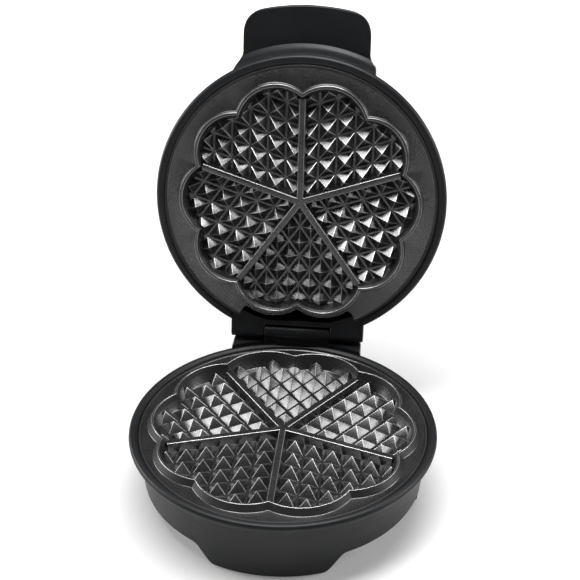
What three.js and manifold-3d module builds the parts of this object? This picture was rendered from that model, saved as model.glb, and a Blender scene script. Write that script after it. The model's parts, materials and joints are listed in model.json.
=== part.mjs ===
// Five-heart waffle maker: base, hinged lid, two cast baking plates and the heating parts inside.
// Millimetres, +Z up. The front (grip side) faces -Y and the hinge is at the rear, +Y.
// The base is modelled around its own vertical axis with the table at z = 0, the lid is modelled
// closed on top of it, and the lid group is then turned open about the hinge.

import * as THREE from 'three';
import { mergeVertices } from 'three/addons/utils/BufferGeometryUtils.js';
import Module from 'manifold-3d';

const wasm = await Module();
wasm.setup();

// ---- Driving dimensions ----

const GAP = 0.3;                  // clearance between pieces that sit on each other
const FAR = 200;                  // reach of a cutter that runs right out of the part
const RIM_R = 110;                // widest radius of the base and the lid
const MARGIN_Z = 51.6;            // flat margin of the lower plate above the table
const WALL = 2.5;                 // housing wall
const RIM_W = 6.6;                // width of the rounded rim around each plate
const OPEN_ANGLE = 101;           // lid swing from closed to fully open, degrees

// Plate seat
const SEAT_R = RIM_R - RIM_W;     // bore that takes each plate
const LEDGE_R = SEAT_R - 3.9;     // inner radius of the ledge a plate rests on

// Baking plates
const PLATE_R = SEAT_R - 0.4;
const PLATE_T = 3;                // casting thickness at the margin
const FLOOR_T = 3.2;              // casting thickness at the floor of the hearts
const LIP_W = 1.6;                // raised lip around the plate's edge
const LIP_H = 0.5;
const RIB_TOP_W = 4.5;
const RIB_FLANK = 2;              // how much wider a rib is at its foot, each side
const PYRAMID_PITCH = 14.3;
const PYRAMID_BASE = 12.6;
const PYRAMID_H = 6.4;
const PYRAMID_PAST_WALL = 3;      // how far outside the hearts a cut pyramid's centre may lie
const LOBES = 10;
const HEARTS = 5;
// grid: how far the first pyramids stand from the ribs' centre lines, in pitches
const LOWER = {
  ridge: 4.5, floor: 7.1, rib: 0.5, dip: 7.3, grid: 0.75,
  foot: PLATE_R - 5, crestOut: PLATE_R - 8.4, crestIn: PLATE_R - 9.6, floorR: PLATE_R - 14.4,
};
const UPPER = {
  ridge: 2.4, floor: 9.2, rib: 0.7, dip: 9.4, grid: 0.4,
  foot: PLATE_R - 10.3, crestOut: PLATE_R - 11.4, crestIn: PLATE_R - 13.6, floorR: PLATE_R - 17.6,
};
const PARTING_Z = MARGIN_Z + LOWER.ridge + GAP;   // flat margin of the closed upper plate
const LEDGE_Z = MARGIN_Z - PLATE_T - GAP;         // ledge under the lower plate
const LID_LEDGE_Z = PARTING_Z + PLATE_T + GAP;    // ledge over the closed upper plate

// Base skirt and feet
const SKIRT_FOOT_R = RIM_R - 11.6;                // outer radius of the skirt at the table
const SKIRT_TOP_R = RIM_R - 6.1;                  // outer radius of the skirt under the rim
const SKIRT_TOP_Z = MARGIN_Z - 6.4;
const FOOT_PAD_T = 1.2;           // rubber under each foot
const ARCH_H = 16;                // height of the arches between the feet
const FEET = [
  { name: 'front', centre: 0, half: 22 },
  { name: 'right', centre: 120, half: 35 },
  { name: 'left', centre: -120, half: 35 },
];
const FOOT_FLARE = 9;             // degrees over which a foot flares into the arch
const FOOT_FLANGE_W = 12;
const FOOT_FLANGE_T = 2.4;
const FLANGE_IN = SKIRT_FOOT_R - WALL - FOOT_FLANGE_W;
const PAD_PEG = { r: 2.5, h: 4 };
const COVER_TOP = ARCH_H + 3;     // upper face of the bottom cover

// Hinge
const BARREL_R = 5.7;
const PIN_R = 2;
const PIN_CLEARANCE = 0.08;
const HINGE_Y = RIM_R - 2.8;
const HINGE_Z = PARTING_Z + BARREL_R + 3.4;
const KNUCKLE_HALF = 26;          // half width of the base's middle knuckle
const BLOCK_HALF = 52;            // half width of the lid's hinge block
const BLOCK_FACE_Z = HINGE_Z - BARREL_R + 0.2;    // underside of the closed lid's hinge block
const BLOCK_TOP = HINGE_Z + 12;
const BLOCK_FRONT_Y = RIM_R - 14;
const CUTOUT_HALF = BLOCK_HALF - 7.5;             // rear notch of the upper plate
const CUTOUT_Y = BLOCK_FRONT_Y - 12;

// Hinge tower at the back of the base
const TOWER_HALF = BLOCK_HALF - 1.5;
const TOWER_Y = HINGE_Y + BARREL_R + 1.1;
const TOWER_FRONT_Y = SKIRT_TOP_R - 15.9;
const TOWER_TOP = PARTING_Z + 1.2;
const TOWER_FOOT_Z = ARCH_H + 4;
const TOWER_SCREW = { x: TOWER_HALF - 12.5, z: TOWER_FOOT_Z + 19 };
const TOWER_BOSS = { r: 4, length: 14, web: 1.5 };
const COVER_PANEL = { half: TOWER_HALF - 3.2, z0: TOWER_FOOT_Z + 2.8, z1: TOWER_TOP - 3.2 };
const GLAND = { z: TOWER_FOOT_Z + 11, r: 5.6, bore: 3.6, flange: 8.6 };
const DOORWAY_HALF = 20;          // opening between the tower and the base for the wires

// Lid shells
const LID_RIM_Z = PARTING_Z + 2.8;                // height of the closed lid's widest circle
const SEAM_Z = PARTING_Z + 7.6;   // joint between the lid's frame and its cover
const SPIGOT_R = RIM_R - 4.4;     // rim of the frame that locates the cover
const SPIGOT_T = 2;
const SPIGOT_H = 3;
const DOME_H = SEAM_Z + 32.2;     // top of the closed lid
const DOME = [
  [RIM_R - 0.4, SEAM_Z], [RIM_R - 2.6, SEAM_Z + 10], [RIM_R - 6, SEAM_Z + 18],
  [RIM_R - 14, SEAM_Z + 25.2], [RIM_R - 36, SEAM_Z + 30], [0, DOME_H],
];

// Grip
const GRIP_HALF = 47.5;
const GRIP_END_Y = RIM_R + 32.7;
const GRIP_UNDER_Z = SEAM_Z + 17; // flat underside of the grip
const GRIP_T = 9.5;
const GRIP_CORNER = 16;
const GRIP_BOW = 3;               // how far the grip's end bows out between its corners
const GRIP_FLARE = { width: 5, from: 6, to: 15 }; // widening where the grip meets the lid
const GRIP_COVE = 7.5;            // reach of the cove between the lid's side and the grip
const GRIP_SHELL_T = 2.2;
const GRIP_SCREW = { angle: 13, z: SEAM_Z + 12, seatR: RIM_R - 8.7, length: 7.6 };

// Lamps
const LENS = { x: 11, y: -58, r: 4.2, flange: 5.4, depth: 7 };
const LENS_Z = DOME_H - 1.7;      // the dome's outside at a lens
const LAMP_R = 1.8;
const LAMP_BRACKET_Z = DOME_H - 12.2;
const LAMP_BRACKET = { half: LENS.x + 13, depth: 5, t: 1.2, postX: LENS.x + 9, postR: 3, bore: 1.3 };

// Heating parts, with heights measured down from the back of a plate
const ELEMENT_R = PLATE_R - 45;
const TUBE_R = 3.2;
// Length of an element's two bent ends, which stop above the bottom cover.
const TAIL = MARGIN_Z - LOWER.floor - FLOOR_T - TUBE_R - COVER_TOP - 4.1;
const TAIL_ANGLE = 10;            // of each bent end from the rear, degrees
const REFLECTOR_R = PLATE_R - 23;
const SHEET_T = 0.9;
const BOSS = { r: 6, shoulder: 6.7, pegR: 3.5, end: 11.6 };
const CLAMP = { half: ELEMENT_R + 6, depth: 6, t: 1.2, top: GAP + 2 * TUBE_R + GAP };
const SPACER_R = 5.5;
const THERMOSTAT = { r: 8, h: 6, y: -28 };
const FUSE = { r: 2.2, half: 11, y: 28 };
const TERMINALS = { half: 15, depth: 10, h: 9, y: SKIRT_FOOT_R - 16.4, pitch: 9, well: 2.2 };
const LEAD_R = 1.1;

// Screws
const SCREW_R = 1.6;
const SCREW_FIT = 0.25;           // clearance of a screw in its bore
const SCREW_HEAD_R = 3.2;
const SCREW_HEAD_H = 2.2;
const HEAD_GAP = 0.1;             // clearance under a screw's head
const PLATE_SCREW_R = PLATE_R - 7.5;              // circle of the screws that hold each plate
const PLATE_SCREW_ANGLES = [0, 108, 252];
const TAB = { r: 5, t: 4, reach: 6 };             // tabs that carry the plate screws
const PLATE_SCREW_L = TAB.t + GAP + 1.9;
const BOTTOM_SCREW_R = SKIRT_FOOT_R - 8.4;
const BOTTOM_SCREW_ANGLES = [0, 120, 240];
const BOTTOM_BOSS = { r: 4.5, h: 12, web: 1.5 };

const SEGMENTS = 40;              // facets around the plates, four to a lobe
const SKIRT_SEGMENTS = 48;        // facets around the housings
const DISH_SEGMENTS = 24;
const ROUND = 16;                 // facets around small round pieces
const FINE = 8;                   // facets around screws and their holes
const RAD = Math.PI / 180;

// ---- Materials ----

const satinBlack = new THREE.MeshStandardMaterial({ color: 0x2b2d30, roughness: 0.45 });
const nonStick = new THREE.MeshStandardMaterial({ color: 0x17181a, roughness: 0.32, metalness: 0.4 });
const steel = new THREE.MeshStandardMaterial({ color: 0xb9bcc0, roughness: 0.3, metalness: 1 });
const bright = new THREE.MeshStandardMaterial({ color: 0xd5d8da, roughness: 0.22, metalness: 1 });
const rubber = new THREE.MeshStandardMaterial({ color: 0x1a1a1b, roughness: 0.85 });
const ceramic = new THREE.MeshStandardMaterial({ color: 0xe6e1d6, roughness: 0.6 });
const sleeve = new THREE.MeshStandardMaterial({ color: 0xd9d6c8, roughness: 0.7 });
const redLens = new THREE.MeshStandardMaterial({ color: 0xa81712, roughness: 0.15 });
const greenLens = new THREE.MeshStandardMaterial({ color: 0x1c7a35, roughness: 0.15 });

// ---- Solids ----

// A closed three.js geometry as a manifold solid, with shared corners merged.
function solid(geometry) {
  const bare = geometry.index ? geometry.toNonIndexed() : geometry.clone();
  for (const name of Object.keys(bare.attributes)) {
    if (name !== 'position') bare.deleteAttribute(name);
  }
  const merged = mergeVertices(bare, 1e-4);
  const index = merged.index.array;
  const kept = [];
  for (let i = 0; i < index.length; i += 3) {
    const [a, b, c] = [index[i], index[i + 1], index[i + 2]];
    if (a !== b && b !== c && a !== c) kept.push(a, b, c);
  }
  return new wasm.Manifold(new wasm.Mesh({
    numProp: 3,
    vertProperties: new Float32Array(merged.attributes.position.array),
    triVerts: new Uint32Array(kept),
  }));
}

function union(...parts) {
  return parts.reduce((all, part) => all.add(part));
}

function cut(body, ...tools) {
  return tools.reduce((all, tool) => all.subtract(tool), body);
}

// A three.js mesh of a solid, named after its sub-part.
function piece(name, body, material) {
  const { vertProperties, triVerts } = body.getMesh();
  const geometry = new THREE.BufferGeometry();
  geometry.setAttribute('position', new THREE.BufferAttribute(new Float32Array(vertProperties), 3));
  geometry.setIndex(new THREE.BufferAttribute(new Uint32Array(triVerts), 1));
  geometry.computeVertexNormals();
  const mesh = new THREE.Mesh(geometry, material);
  mesh.name = name;
  return mesh;
}

// Revolved solid about Z from [radius, z] points, listed anticlockwise seen with r to the right.
function turned(points, segments = ROUND) {
  const profile = points.map(([r, z]) => new THREE.Vector2(r, z));
  if (points[0][0] > 0 || points.at(-1)[0] > 0) profile.push(profile[0].clone());
  return solid(new THREE.LatheGeometry(profile, segments).rotateX(Math.PI / 2));
}

function disc(r, z0, z1, segments = ROUND) {
  return turned([[0, z0], [r, z0], [r, z1], [0, z1]], segments);
}

function tube(rIn, rOut, z0, z1, segments = ROUND) {
  return turned([[rIn, z0], [rOut, z0], [rOut, z1], [rIn, z1]], segments);
}

function box(x0, x1, y0, y1, z0, z1) {
  const geometry = new THREE.BoxGeometry(x1 - x0, y1 - y0, z1 - z0);
  return solid(geometry.translate((x0 + x1) / 2, (y0 + y1) / 2, (z0 + z1) / 2));
}

// A flat outline in XY raised from z0 to z1.
function slab(shape, z0, z1, curveSegments = 6) {
  const geometry = new THREE.ExtrudeGeometry(shape, {
    depth: z1 - z0, bevelEnabled: false, curveSegments,
  });
  return solid(geometry.translate(0, 0, z0));
}

// Round bar along X.
function barX(r, x0, x1, y, z, segments = ROUND) {
  return disc(r, x0, x1, segments).rotate([0, 90, 0]).translate([0, y, z]);
}

// Tube along a curve.
function pipe(curve, r, steps, sides = 8) {
  const section = new THREE.Shape();
  section.absarc(0, 0, r, 0, 2 * Math.PI);
  return solid(new THREE.ExtrudeGeometry(section, {
    extrudePath: curve, steps, curveSegments: sides / 2,
  }));
}

// Point on a circle, with the angle in degrees from the front, anticlockwise seen from above.
function around(r, angle) {
  return [r * Math.sin(angle * RAD), -r * Math.cos(angle * RAD)];
}

function at(body, r, angle) {
  return body.translate([...around(r, angle), 0]);
}

// Rectangle with round corners, centred on x = 0.
function roundedPanel(half, y0, y1, corner) {
  const shape = new THREE.Shape();
  shape.moveTo(-half + corner, y0);
  shape.lineTo(half - corner, y0);
  shape.absarc(half - corner, y0 + corner, corner, -Math.PI / 2, 0);
  shape.absarc(half - corner, y1 - corner, corner, 0, Math.PI / 2);
  shape.absarc(-half + corner, y1 - corner, corner, Math.PI / 2, Math.PI);
  shape.absarc(-half + corner, y0 + corner, corner, Math.PI, 1.5 * Math.PI);
  return shape;
}

// Piece of a flat ring between two angles from the front.
function ringSector(rIn, rOut, centre, half) {
  const start = (centre - half - 90) * RAD;
  const end = (centre + half - 90) * RAD;
  const shape = new THREE.Shape();
  shape.absarc(0, 0, rOut, start, end, false);
  shape.absarc(0, 0, rIn, end, start, true);
  return shape;
}

// Pan-head screw pointing up, with the underside of its head at z.
function screw(z, length) {
  return turned([
    [0, z - SCREW_HEAD_H], [SCREW_HEAD_R - 1, z - SCREW_HEAD_H], [SCREW_HEAD_R, z - 1],
    [SCREW_HEAD_R, z], [SCREW_R, z], [SCREW_R, z + length], [0, z + length],
  ], FINE);
}

// ---- Flower outline ----

// How far the ten-lobed outline dips inside its widest radius, at an angle from a cleft.
function flowerDip(angle, lobeR, dip) {
  const step = 360 / LOBES;
  const fromLobe = (Math.abs(((angle % step) + step) % step - step / 2)) * RAD;
  const half = step / 2 * RAD;
  const cleftR = lobeR - dip;
  const a = cleftR * Math.cos(half) - lobeR;
  const b = cleftR * Math.sin(half);
  const arcR = -(a * a + b * b) / (2 * a);
  const arcC = lobeR - arcR;
  const reach = arcC * Math.cos(fromLobe) + Math.sqrt(arcR ** 2 - (arcC * Math.sin(fromLobe)) ** 2);
  return lobeR - reach;
}

// Revolved solid whose marked points follow the flower outline: [radius, z, follows].
function flowerTurned(points, spec) {
  const closed = [...points];
  if (points[0][0] > 0) closed.push(points[0]);
  const profile = closed.map(([r, z]) => new THREE.Vector2(r, z));
  const geometry = new THREE.LatheGeometry(profile, SEGMENTS);
  const position = geometry.attributes.position;
  for (let i = 0; i <= SEGMENTS; i++) {
    const angle = 360 * i / SEGMENTS;
    const dip = flowerDip(angle, spec.crestOut, spec.dip);
    closed.forEach(([r, , follows], j) => {
      const radius = r - (follows ? dip : 0);
      const vertex = i * closed.length + j;
      position.setX(vertex, radius * Math.sin(angle * RAD));
      position.setZ(vertex, radius * Math.cos(angle * RAD));
    });
  }
  return solid(geometry.rotateX(Math.PI / 2));
}

// ---- Baking plate, face up, with its flat margin at z = 0 ----

function rib(spec, angle) {
  const top = RIB_TOP_W / 2;
  const foot = top + RIB_FLANK;
  const low = -spec.floor - FLOOR_T / 2;
  const section = new THREE.Shape();
  section.moveTo(-foot, low);
  section.lineTo(foot, low);
  section.lineTo(top, -spec.rib);
  section.lineTo(-top, -spec.rib);
  const length = spec.floorR - spec.dip + 2;
  const geometry = new THREE.ExtrudeGeometry(section, { depth: length, bevelEnabled: false });
  return solid(geometry.rotateX(Math.PI / 2)).rotate([0, 0, angle]);
}

// One heart's rows of pyramids, on a grid that runs along the two ribs beside the heart.
function pyramidField(spec, angle) {
  const halfHeart = 180 / HEARTS * RAD;
  const sunk = FLOOR_T / 2;
  const grow = (PYRAMID_H + sunk) / PYRAMID_H;
  const cone = new THREE.ConeGeometry(1, PYRAMID_H + sunk, 4).rotateX(Math.PI / 2);
  cone.scale(PYRAMID_BASE * Math.sin(halfHeart) * grow, PYRAMID_BASE * Math.cos(halfHeart) * grow, 1);
  cone.translate(0, 0, -spec.floor + (PYRAMID_H - sunk) / 2);
  const pyramid = solid(cone);
  const reach = spec.floorR + PYRAMID_PAST_WALL;
  const rows = Math.ceil(reach / PYRAMID_PITCH);
  const placed = [];
  for (let i = 0; i < rows; i++) {
    for (let j = 0; j < rows; j++) {
      const x = (i - j) * PYRAMID_PITCH * Math.sin(halfHeart);
      const y = -(i + j + 2 * spec.grid) * PYRAMID_PITCH * Math.cos(halfHeart);
      if (Math.hypot(x, y) < reach) placed.push(pyramid.translate([x, y, 0]));
    }
  }
  return union(...placed).rotate([0, 0, angle]);
}

// The blind boss in the middle of the plate's back, which carries the heating stack.
function centreBoss(back) {
  const { r, shoulder, pegR, end } = BOSS;
  const outside = turned([
    [0, back - end], [pegR, back - end], [pegR, back - shoulder], [r, back - shoulder],
    [r, back + 1], [0, back + 1],
  ]);
  return cut(outside, disc(SCREW_R + SCREW_FIT, back - end - 1, back - shoulder + 2.7, FINE));
}

function bakingPlate(spec) {
  const back = -spec.floor - FLOOR_T;
  const wallFoot = spec.floorR + FLOOR_T * 0.6;
  const body = flowerTurned([
    [0, back, 0], [wallFoot, back, 1], [spec.foot - 1, -PLATE_T, 1], [PLATE_R, -PLATE_T, 0],
    [PLATE_R, LIP_H, 0], [PLATE_R - LIP_W, LIP_H, 0], [PLATE_R - LIP_W - 0.6, 0, 0], [spec.foot, 0, 1],
    [spec.crestOut, spec.ridge, 1], [spec.crestIn, spec.ridge, 1],
    [spec.crestIn - 1.6, 0, 1], [spec.floorR, -spec.floor, 1], [0, -spec.floor, 0],
  ], spec);
  const inside = flowerTurned([
    [0, back + 1, 0], [spec.floorR + 1.2, back + 1, 1], [spec.floorR + 1.2, 0, 1], [0, 0, 0],
  ], spec);
  const ribs = [];
  const fields = [];
  for (let k = 0; k < HEARTS; k++) {
    ribs.push(rib(spec, k * 360 / HEARTS));
    fields.push(pyramidField(spec, (k + 0.5) * 360 / HEARTS));
  }
  const relief = union(...fields).intersect(inside);
  const screwHoles = PLATE_SCREW_ANGLES.map(
    (angle) => at(disc(SCREW_R + SCREW_FIT, -PLATE_T - 1, -PLATE_T + 2, FINE), PLATE_SCREW_R, angle),
  );
  return cut(union(body, ...ribs, relief, centreBoss(back)), ...screwHoles);
}

// ---- Heating stack behind a plate, in the plate's own frame ----

// Element: nearly a full circle, with both ends turned away from the plate at the rear.
function elementTube(back) {
  const z = back - GAP - TUBE_R;
  const points = [];
  const end = (angle, drop) => new THREE.Vector3(...around(ELEMENT_R, angle), z - drop);
  points.push(end(180 + TAIL_ANGLE, TAIL), end(180 + TAIL_ANGLE, TAIL / 2), end(180 + TAIL_ANGLE + 2, 2));
  for (let angle = 180 + TAIL_ANGLE + 8; angle <= 540 - TAIL_ANGLE - 8; angle += 12) {
    points.push(end(angle, 0));
  }
  points.push(end(540 - TAIL_ANGLE - 2, 2), end(540 - TAIL_ANGLE, TAIL / 2), end(540 - TAIL_ANGLE, TAIL));
  return pipe(new THREE.CatmullRomCurve3(points), TUBE_R, 30);
}

function reflector(back) {
  const z = back - BOSS.end - GAP;
  const rim = REFLECTOR_R;
  const rise = z + 5;
  const hole = BOSS.pegR - 0.5;
  const dish = turned([
    [hole, z - SHEET_T], [rim - 16, z - SHEET_T], [rim - 4, rise], [rim, rise], [rim, rise + SHEET_T],
    [rim - 4.6, rise + SHEET_T], [rim - 16.6, z], [hole, z],
  ], DISH_SEGMENTS);
  const [tailX] = around(ELEMENT_R, 180 - TAIL_ANGLE);
  const slotHalf = tailX + TUBE_R + 3.7;
  const tailSlot = box(-slotHalf, slotHalf, ELEMENT_R - 12, ELEMENT_R + 6, z - 3, z + 3);
  return cut(dish, tailSlot, disc(SCREW_R + 2 * SCREW_FIT, z - 3, z + 3, FINE));
}

function clampStrip(back) {
  const z = back - CLAMP.top;
  const strip = box(-CLAMP.half, CLAMP.half, -CLAMP.depth, CLAMP.depth, z - CLAMP.t, z);
  return cut(strip, disc(BOSS.pegR + 0.4, z - CLAMP.t - 1, z + 1));
}

function heatingStack(side, spec) {
  const back = -spec.floor - FLOOR_T;
  const clampUnder = back - CLAMP.top - CLAMP.t;
  const spacer = tube(BOSS.pegR + 0.4, SPACER_R, back - BOSS.end, clampUnder - GAP);
  const clampScrew = screw(back - BOSS.end - GAP - SHEET_T - GAP, 7);
  const group = new THREE.Group();
  group.add(
    piece(`${side}_plate`, side === 'upper' ? notchedPlate(spec) : bakingPlate(spec), nonStick),
    piece(`${side}_element`, elementTube(back), steel),
    piece(`${side}_element_clamp`, clampStrip(back), steel),
    piece(`${side}_spacer`, spacer, steel),
    piece(`${side}_reflector`, reflector(back), bright),
    piece(`${side}_clamp_screw`, clampScrew, steel),
  );
  return group;
}

// The upper plate leaves a notch at the rear for the hinge block, round the last two lobes.
function notchedPlate(spec) {
  const panel = roundedPanel(CUTOUT_HALF, CUTOUT_Y, RIM_R, 8);
  const reach = spec.foot + 1.5;
  const lobes = flowerTurned([[0, -20, 0], [reach, -20, 1], [reach, 5, 1], [0, 5, 0]], spec);
  return cut(bakingPlate(spec), cut(slab(panel, -10, 4), lobes));
}

// ---- Base ----

function skirtR(z) {
  return SKIRT_FOOT_R + (SKIRT_TOP_R - SKIRT_FOOT_R) * z / SKIRT_TOP_Z;
}

// Height of the skirt's lower edge at an angle from the front: low at the feet, raised between.
function skirtEdge(angle) {
  const lifts = FEET.map(({ centre, half }) => {
    const away = Math.abs(((angle - centre + 540) % 360) - 180);
    return THREE.MathUtils.smoothstep(away, half, half + FOOT_FLARE);
  });
  return FOOT_PAD_T + (ARCH_H - FOOT_PAD_T) * Math.min(...lifts);
}

function skirt() {
  const profile = [
    [SKIRT_FOOT_R, 0], [SKIRT_TOP_R, SKIRT_TOP_Z], [RIM_R - 0.6, MARGIN_Z - 2],
    [RIM_R, MARGIN_Z + 0.6], [RIM_R - 1.6, MARGIN_Z + 2.4], [RIM_R - 4.4, MARGIN_Z + 2.6],
    [SEAT_R, MARGIN_Z + 1], [SEAT_R, LEDGE_Z], [LEDGE_R, LEDGE_Z], [LEDGE_R, LEDGE_Z - WALL],
    [SKIRT_TOP_R - WALL, SKIRT_TOP_Z - 3], [SKIRT_FOOT_R - WALL, 0], [SKIRT_FOOT_R, 0],
  ];
  const geometry = new THREE.LatheGeometry(
    profile.map(([r, z]) => new THREE.Vector2(r, z)), SKIRT_SEGMENTS,
  );
  const position = geometry.attributes.position;
  const lower = [[0, 0], [profile.length - 2, WALL], [profile.length - 1, 0]];
  for (let i = 0; i <= SKIRT_SEGMENTS; i++) {
    const angle = 360 * i / SKIRT_SEGMENTS;
    const z = skirtEdge(angle);
    for (const [j, inset] of lower) {
      const r = skirtR(z) - inset;
      position.setXYZ(i * profile.length + j, r * Math.sin(angle * RAD), z, r * Math.cos(angle * RAD));
    }
  }
  return solid(geometry.rotateX(Math.PI / 2));
}

function footFlange({ centre, half }) {
  const sector = ringSector(FLANGE_IN, SKIRT_FOOT_R - 1, centre, half - 2);
  const flange = slab(sector, FOOT_PAD_T, FOOT_PAD_T + FOOT_FLANGE_T, 10);
  const peg = at(disc(PAD_PEG.r + GAP, 0, 6, FINE), FLANGE_IN + FOOT_FLANGE_W / 2, centre);
  return cut(flange, peg);
}

function bottomBoss(angle) {
  const { r, h, web } = BOTTOM_BOSS;
  const foot = COVER_TOP + GAP;
  const toWall = skirtR(foot) - WALL / 2 - BOTTOM_SCREW_R;
  const post = union(disc(r, foot, foot + h, 12), box(-web, web, -toWall, 0, foot, foot + h));
  const boss = cut(post, disc(SCREW_R + SCREW_FIT, foot - 1, foot + h - 2, FINE));
  return at(boss.rotate([0, 0, angle]), BOTTOM_SCREW_R, angle);
}

function plateTab(angle, z0, z1) {
  const tab = union(disc(TAB.r, z0, z1, 12), box(-TAB.r, TAB.r, -TAB.reach, 0, z0, z1));
  const drilled = cut(tab, disc(SCREW_R + 2 * SCREW_FIT, z0 - 1, z1 + 1, FINE));
  return at(drilled.rotate([0, 0, angle]), PLATE_SCREW_R, angle);
}

// Hinge tower behind the rim: hollow, open at the rear for its cover, with the middle knuckle on top.
function hingeTower() {
  const outer = slab(roundedPanel(TOWER_HALF, TOWER_FRONT_Y, TOWER_Y, 6), TOWER_FOOT_Z, TOWER_TOP);
  const { half, z0, z1 } = COVER_PANEL;
  const roomHalf = half + GAP;
  const hollow = box(-roomHalf, roomHalf, TOWER_FRONT_Y + 2, TOWER_Y + 1, z0 - GAP, z1 + GAP);
  const insideRim = disc(RIM_R - 3, SKIRT_TOP_Z, TOWER_TOP + 20, SKIRT_SEGMENTS);
  const insideSkirt = turned([[0, 0], [skirtR(0) - 1, 0], [SKIRT_TOP_R - 1, SKIRT_TOP_Z],
    [0, SKIRT_TOP_Z]], SKIRT_SEGMENTS);
  const shell = cut(outer, hollow, insideRim, insideSkirt);
  const post = box(-KNUCKLE_HALF, KNUCKLE_HALF, SEAT_R + 0.5, HINGE_Y + BARREL_R,
    MARGIN_Z - 1.6, HINGE_Z);
  const barrel = barX(BARREL_R, -KNUCKLE_HALF, KNUCKLE_HALF, HINGE_Y, HINGE_Z);
  const mouth = box(-roomHalf, roomHalf, TOWER_Y - 9, FAR, 0, z1 + GAP);
  return union(shell, towerBoss(-1), towerBoss(1), cut(union(post, barrel), mouth));
}

// Post for one of the rear cover's screws, with a web out to the tower's side wall.
function towerBoss(side) {
  const { r, length, web } = TOWER_BOSS;
  const rear = TOWER_Y - WALL - 2 * GAP;
  const toWall = COVER_PANEL.half + 1 - TOWER_SCREW.x;
  const post = disc(r, 0, length, 12).rotate([90, 0, 0]);
  const rib = box(side > 0 ? 0 : -toWall, side > 0 ? toWall : 0, -length, 0, -web, web);
  const bore = disc(SCREW_R + SCREW_FIT, -1, length - 4, FINE).rotate([90, 0, 0]);
  return cut(union(post, rib), bore).translate([side * TOWER_SCREW.x, rear, TOWER_SCREW.z]);
}

function pinBore() {
  return barX(PIN_R + PIN_CLEARANCE, -FAR, FAR, HINGE_Y, HINGE_Z, ROUND);
}

function baseHousing() {
  const doorway = box(-DOORWAY_HALF, DOORWAY_HALF, TOWER_FRONT_Y + 2, TOWER_FRONT_Y + 20,
    TOWER_FOOT_Z + 4, TOWER_FOOT_Z + 20);
  const tabs = PLATE_SCREW_ANGLES.map((angle) => plateTab(angle, LEDGE_Z - TAB.t, LEDGE_Z));
  const body = union(skirt(), ...FEET.map(footFlange), ...BOTTOM_SCREW_ANGLES.map(bottomBoss),
    ...tabs, hingeTower());
  return cut(body, doorway, pinBore());
}

function bottomCover() {
  const z0 = COVER_TOP - WALL;
  const plate = disc(skirtR(z0) - WALL - GAP, z0, COVER_TOP, SKIRT_SEGMENTS);
  const holes = BOTTOM_SCREW_ANGLES.map(
    (angle) => at(disc(SCREW_R + 2 * SCREW_FIT, z0 - 1, COVER_TOP + 1, FINE), BOTTOM_SCREW_R, angle),
  );
  const vents = [-20, -10, 0, 10, 20].map((y) => box(-18, 18, y - 1.5, y + 1.5, z0 - 1, COVER_TOP + 1));
  return cut(plate, ...holes, ...vents);
}

function footPad({ centre, half }) {
  const sector = ringSector(FLANGE_IN + 2, SKIRT_FOOT_R - 2, centre, half - 3);
  const pad = slab(sector, 0, FOOT_PAD_T - GAP, 10);
  const peg = disc(PAD_PEG.r, 0.2, FOOT_PAD_T + PAD_PEG.h, FINE);
  return union(pad, at(peg, FLANGE_IN + FOOT_FLANGE_W / 2, centre));
}

function rearCover() {
  const { half, z0, z1 } = COVER_PANEL;
  const panel = box(-half, half, TOWER_Y - WALL - GAP, TOWER_Y - GAP, z0, z1);
  const holes = [-1, 1].map((side) => disc(SCREW_R + 2 * SCREW_FIT, -4, 4, FINE).rotate([90, 0, 0])
    .translate([side * TOWER_SCREW.x, TOWER_Y - WALL, TOWER_SCREW.z]));
  const glandHole = disc(GLAND.r + GAP, -6, 6, 20).rotate([90, 0, 0]).translate([0, TOWER_Y, GLAND.z]);
  return cut(panel, ...holes, glandHole);
}

// Flanged grommet for the mains cord; its bore runs along Y.
function cordGland() {
  const { r, bore, flange, z } = GLAND;
  const ring = turned([[bore, -3], [bore + 3, -3], [flange, -1], [flange, 0], [r, 0], [r, 6], [bore, 6]]);
  return ring.rotate([90, 0, 0]).translate([0, TOWER_Y, z]);
}

function terminalBlock() {
  const { half, depth, h, y, pitch, well } = TERMINALS;
  const z0 = COVER_TOP + GAP;
  const body = box(-half, half, y, y + depth, z0, z0 + h);
  const wells = [-pitch, 0, pitch].map(
    (x) => disc(well, z0 + 5, z0 + h + 1, 12).translate([x, y + depth / 2, 0]),
  );
  return cut(body, ...wells);
}

// ---- Lid, closed ----

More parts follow.
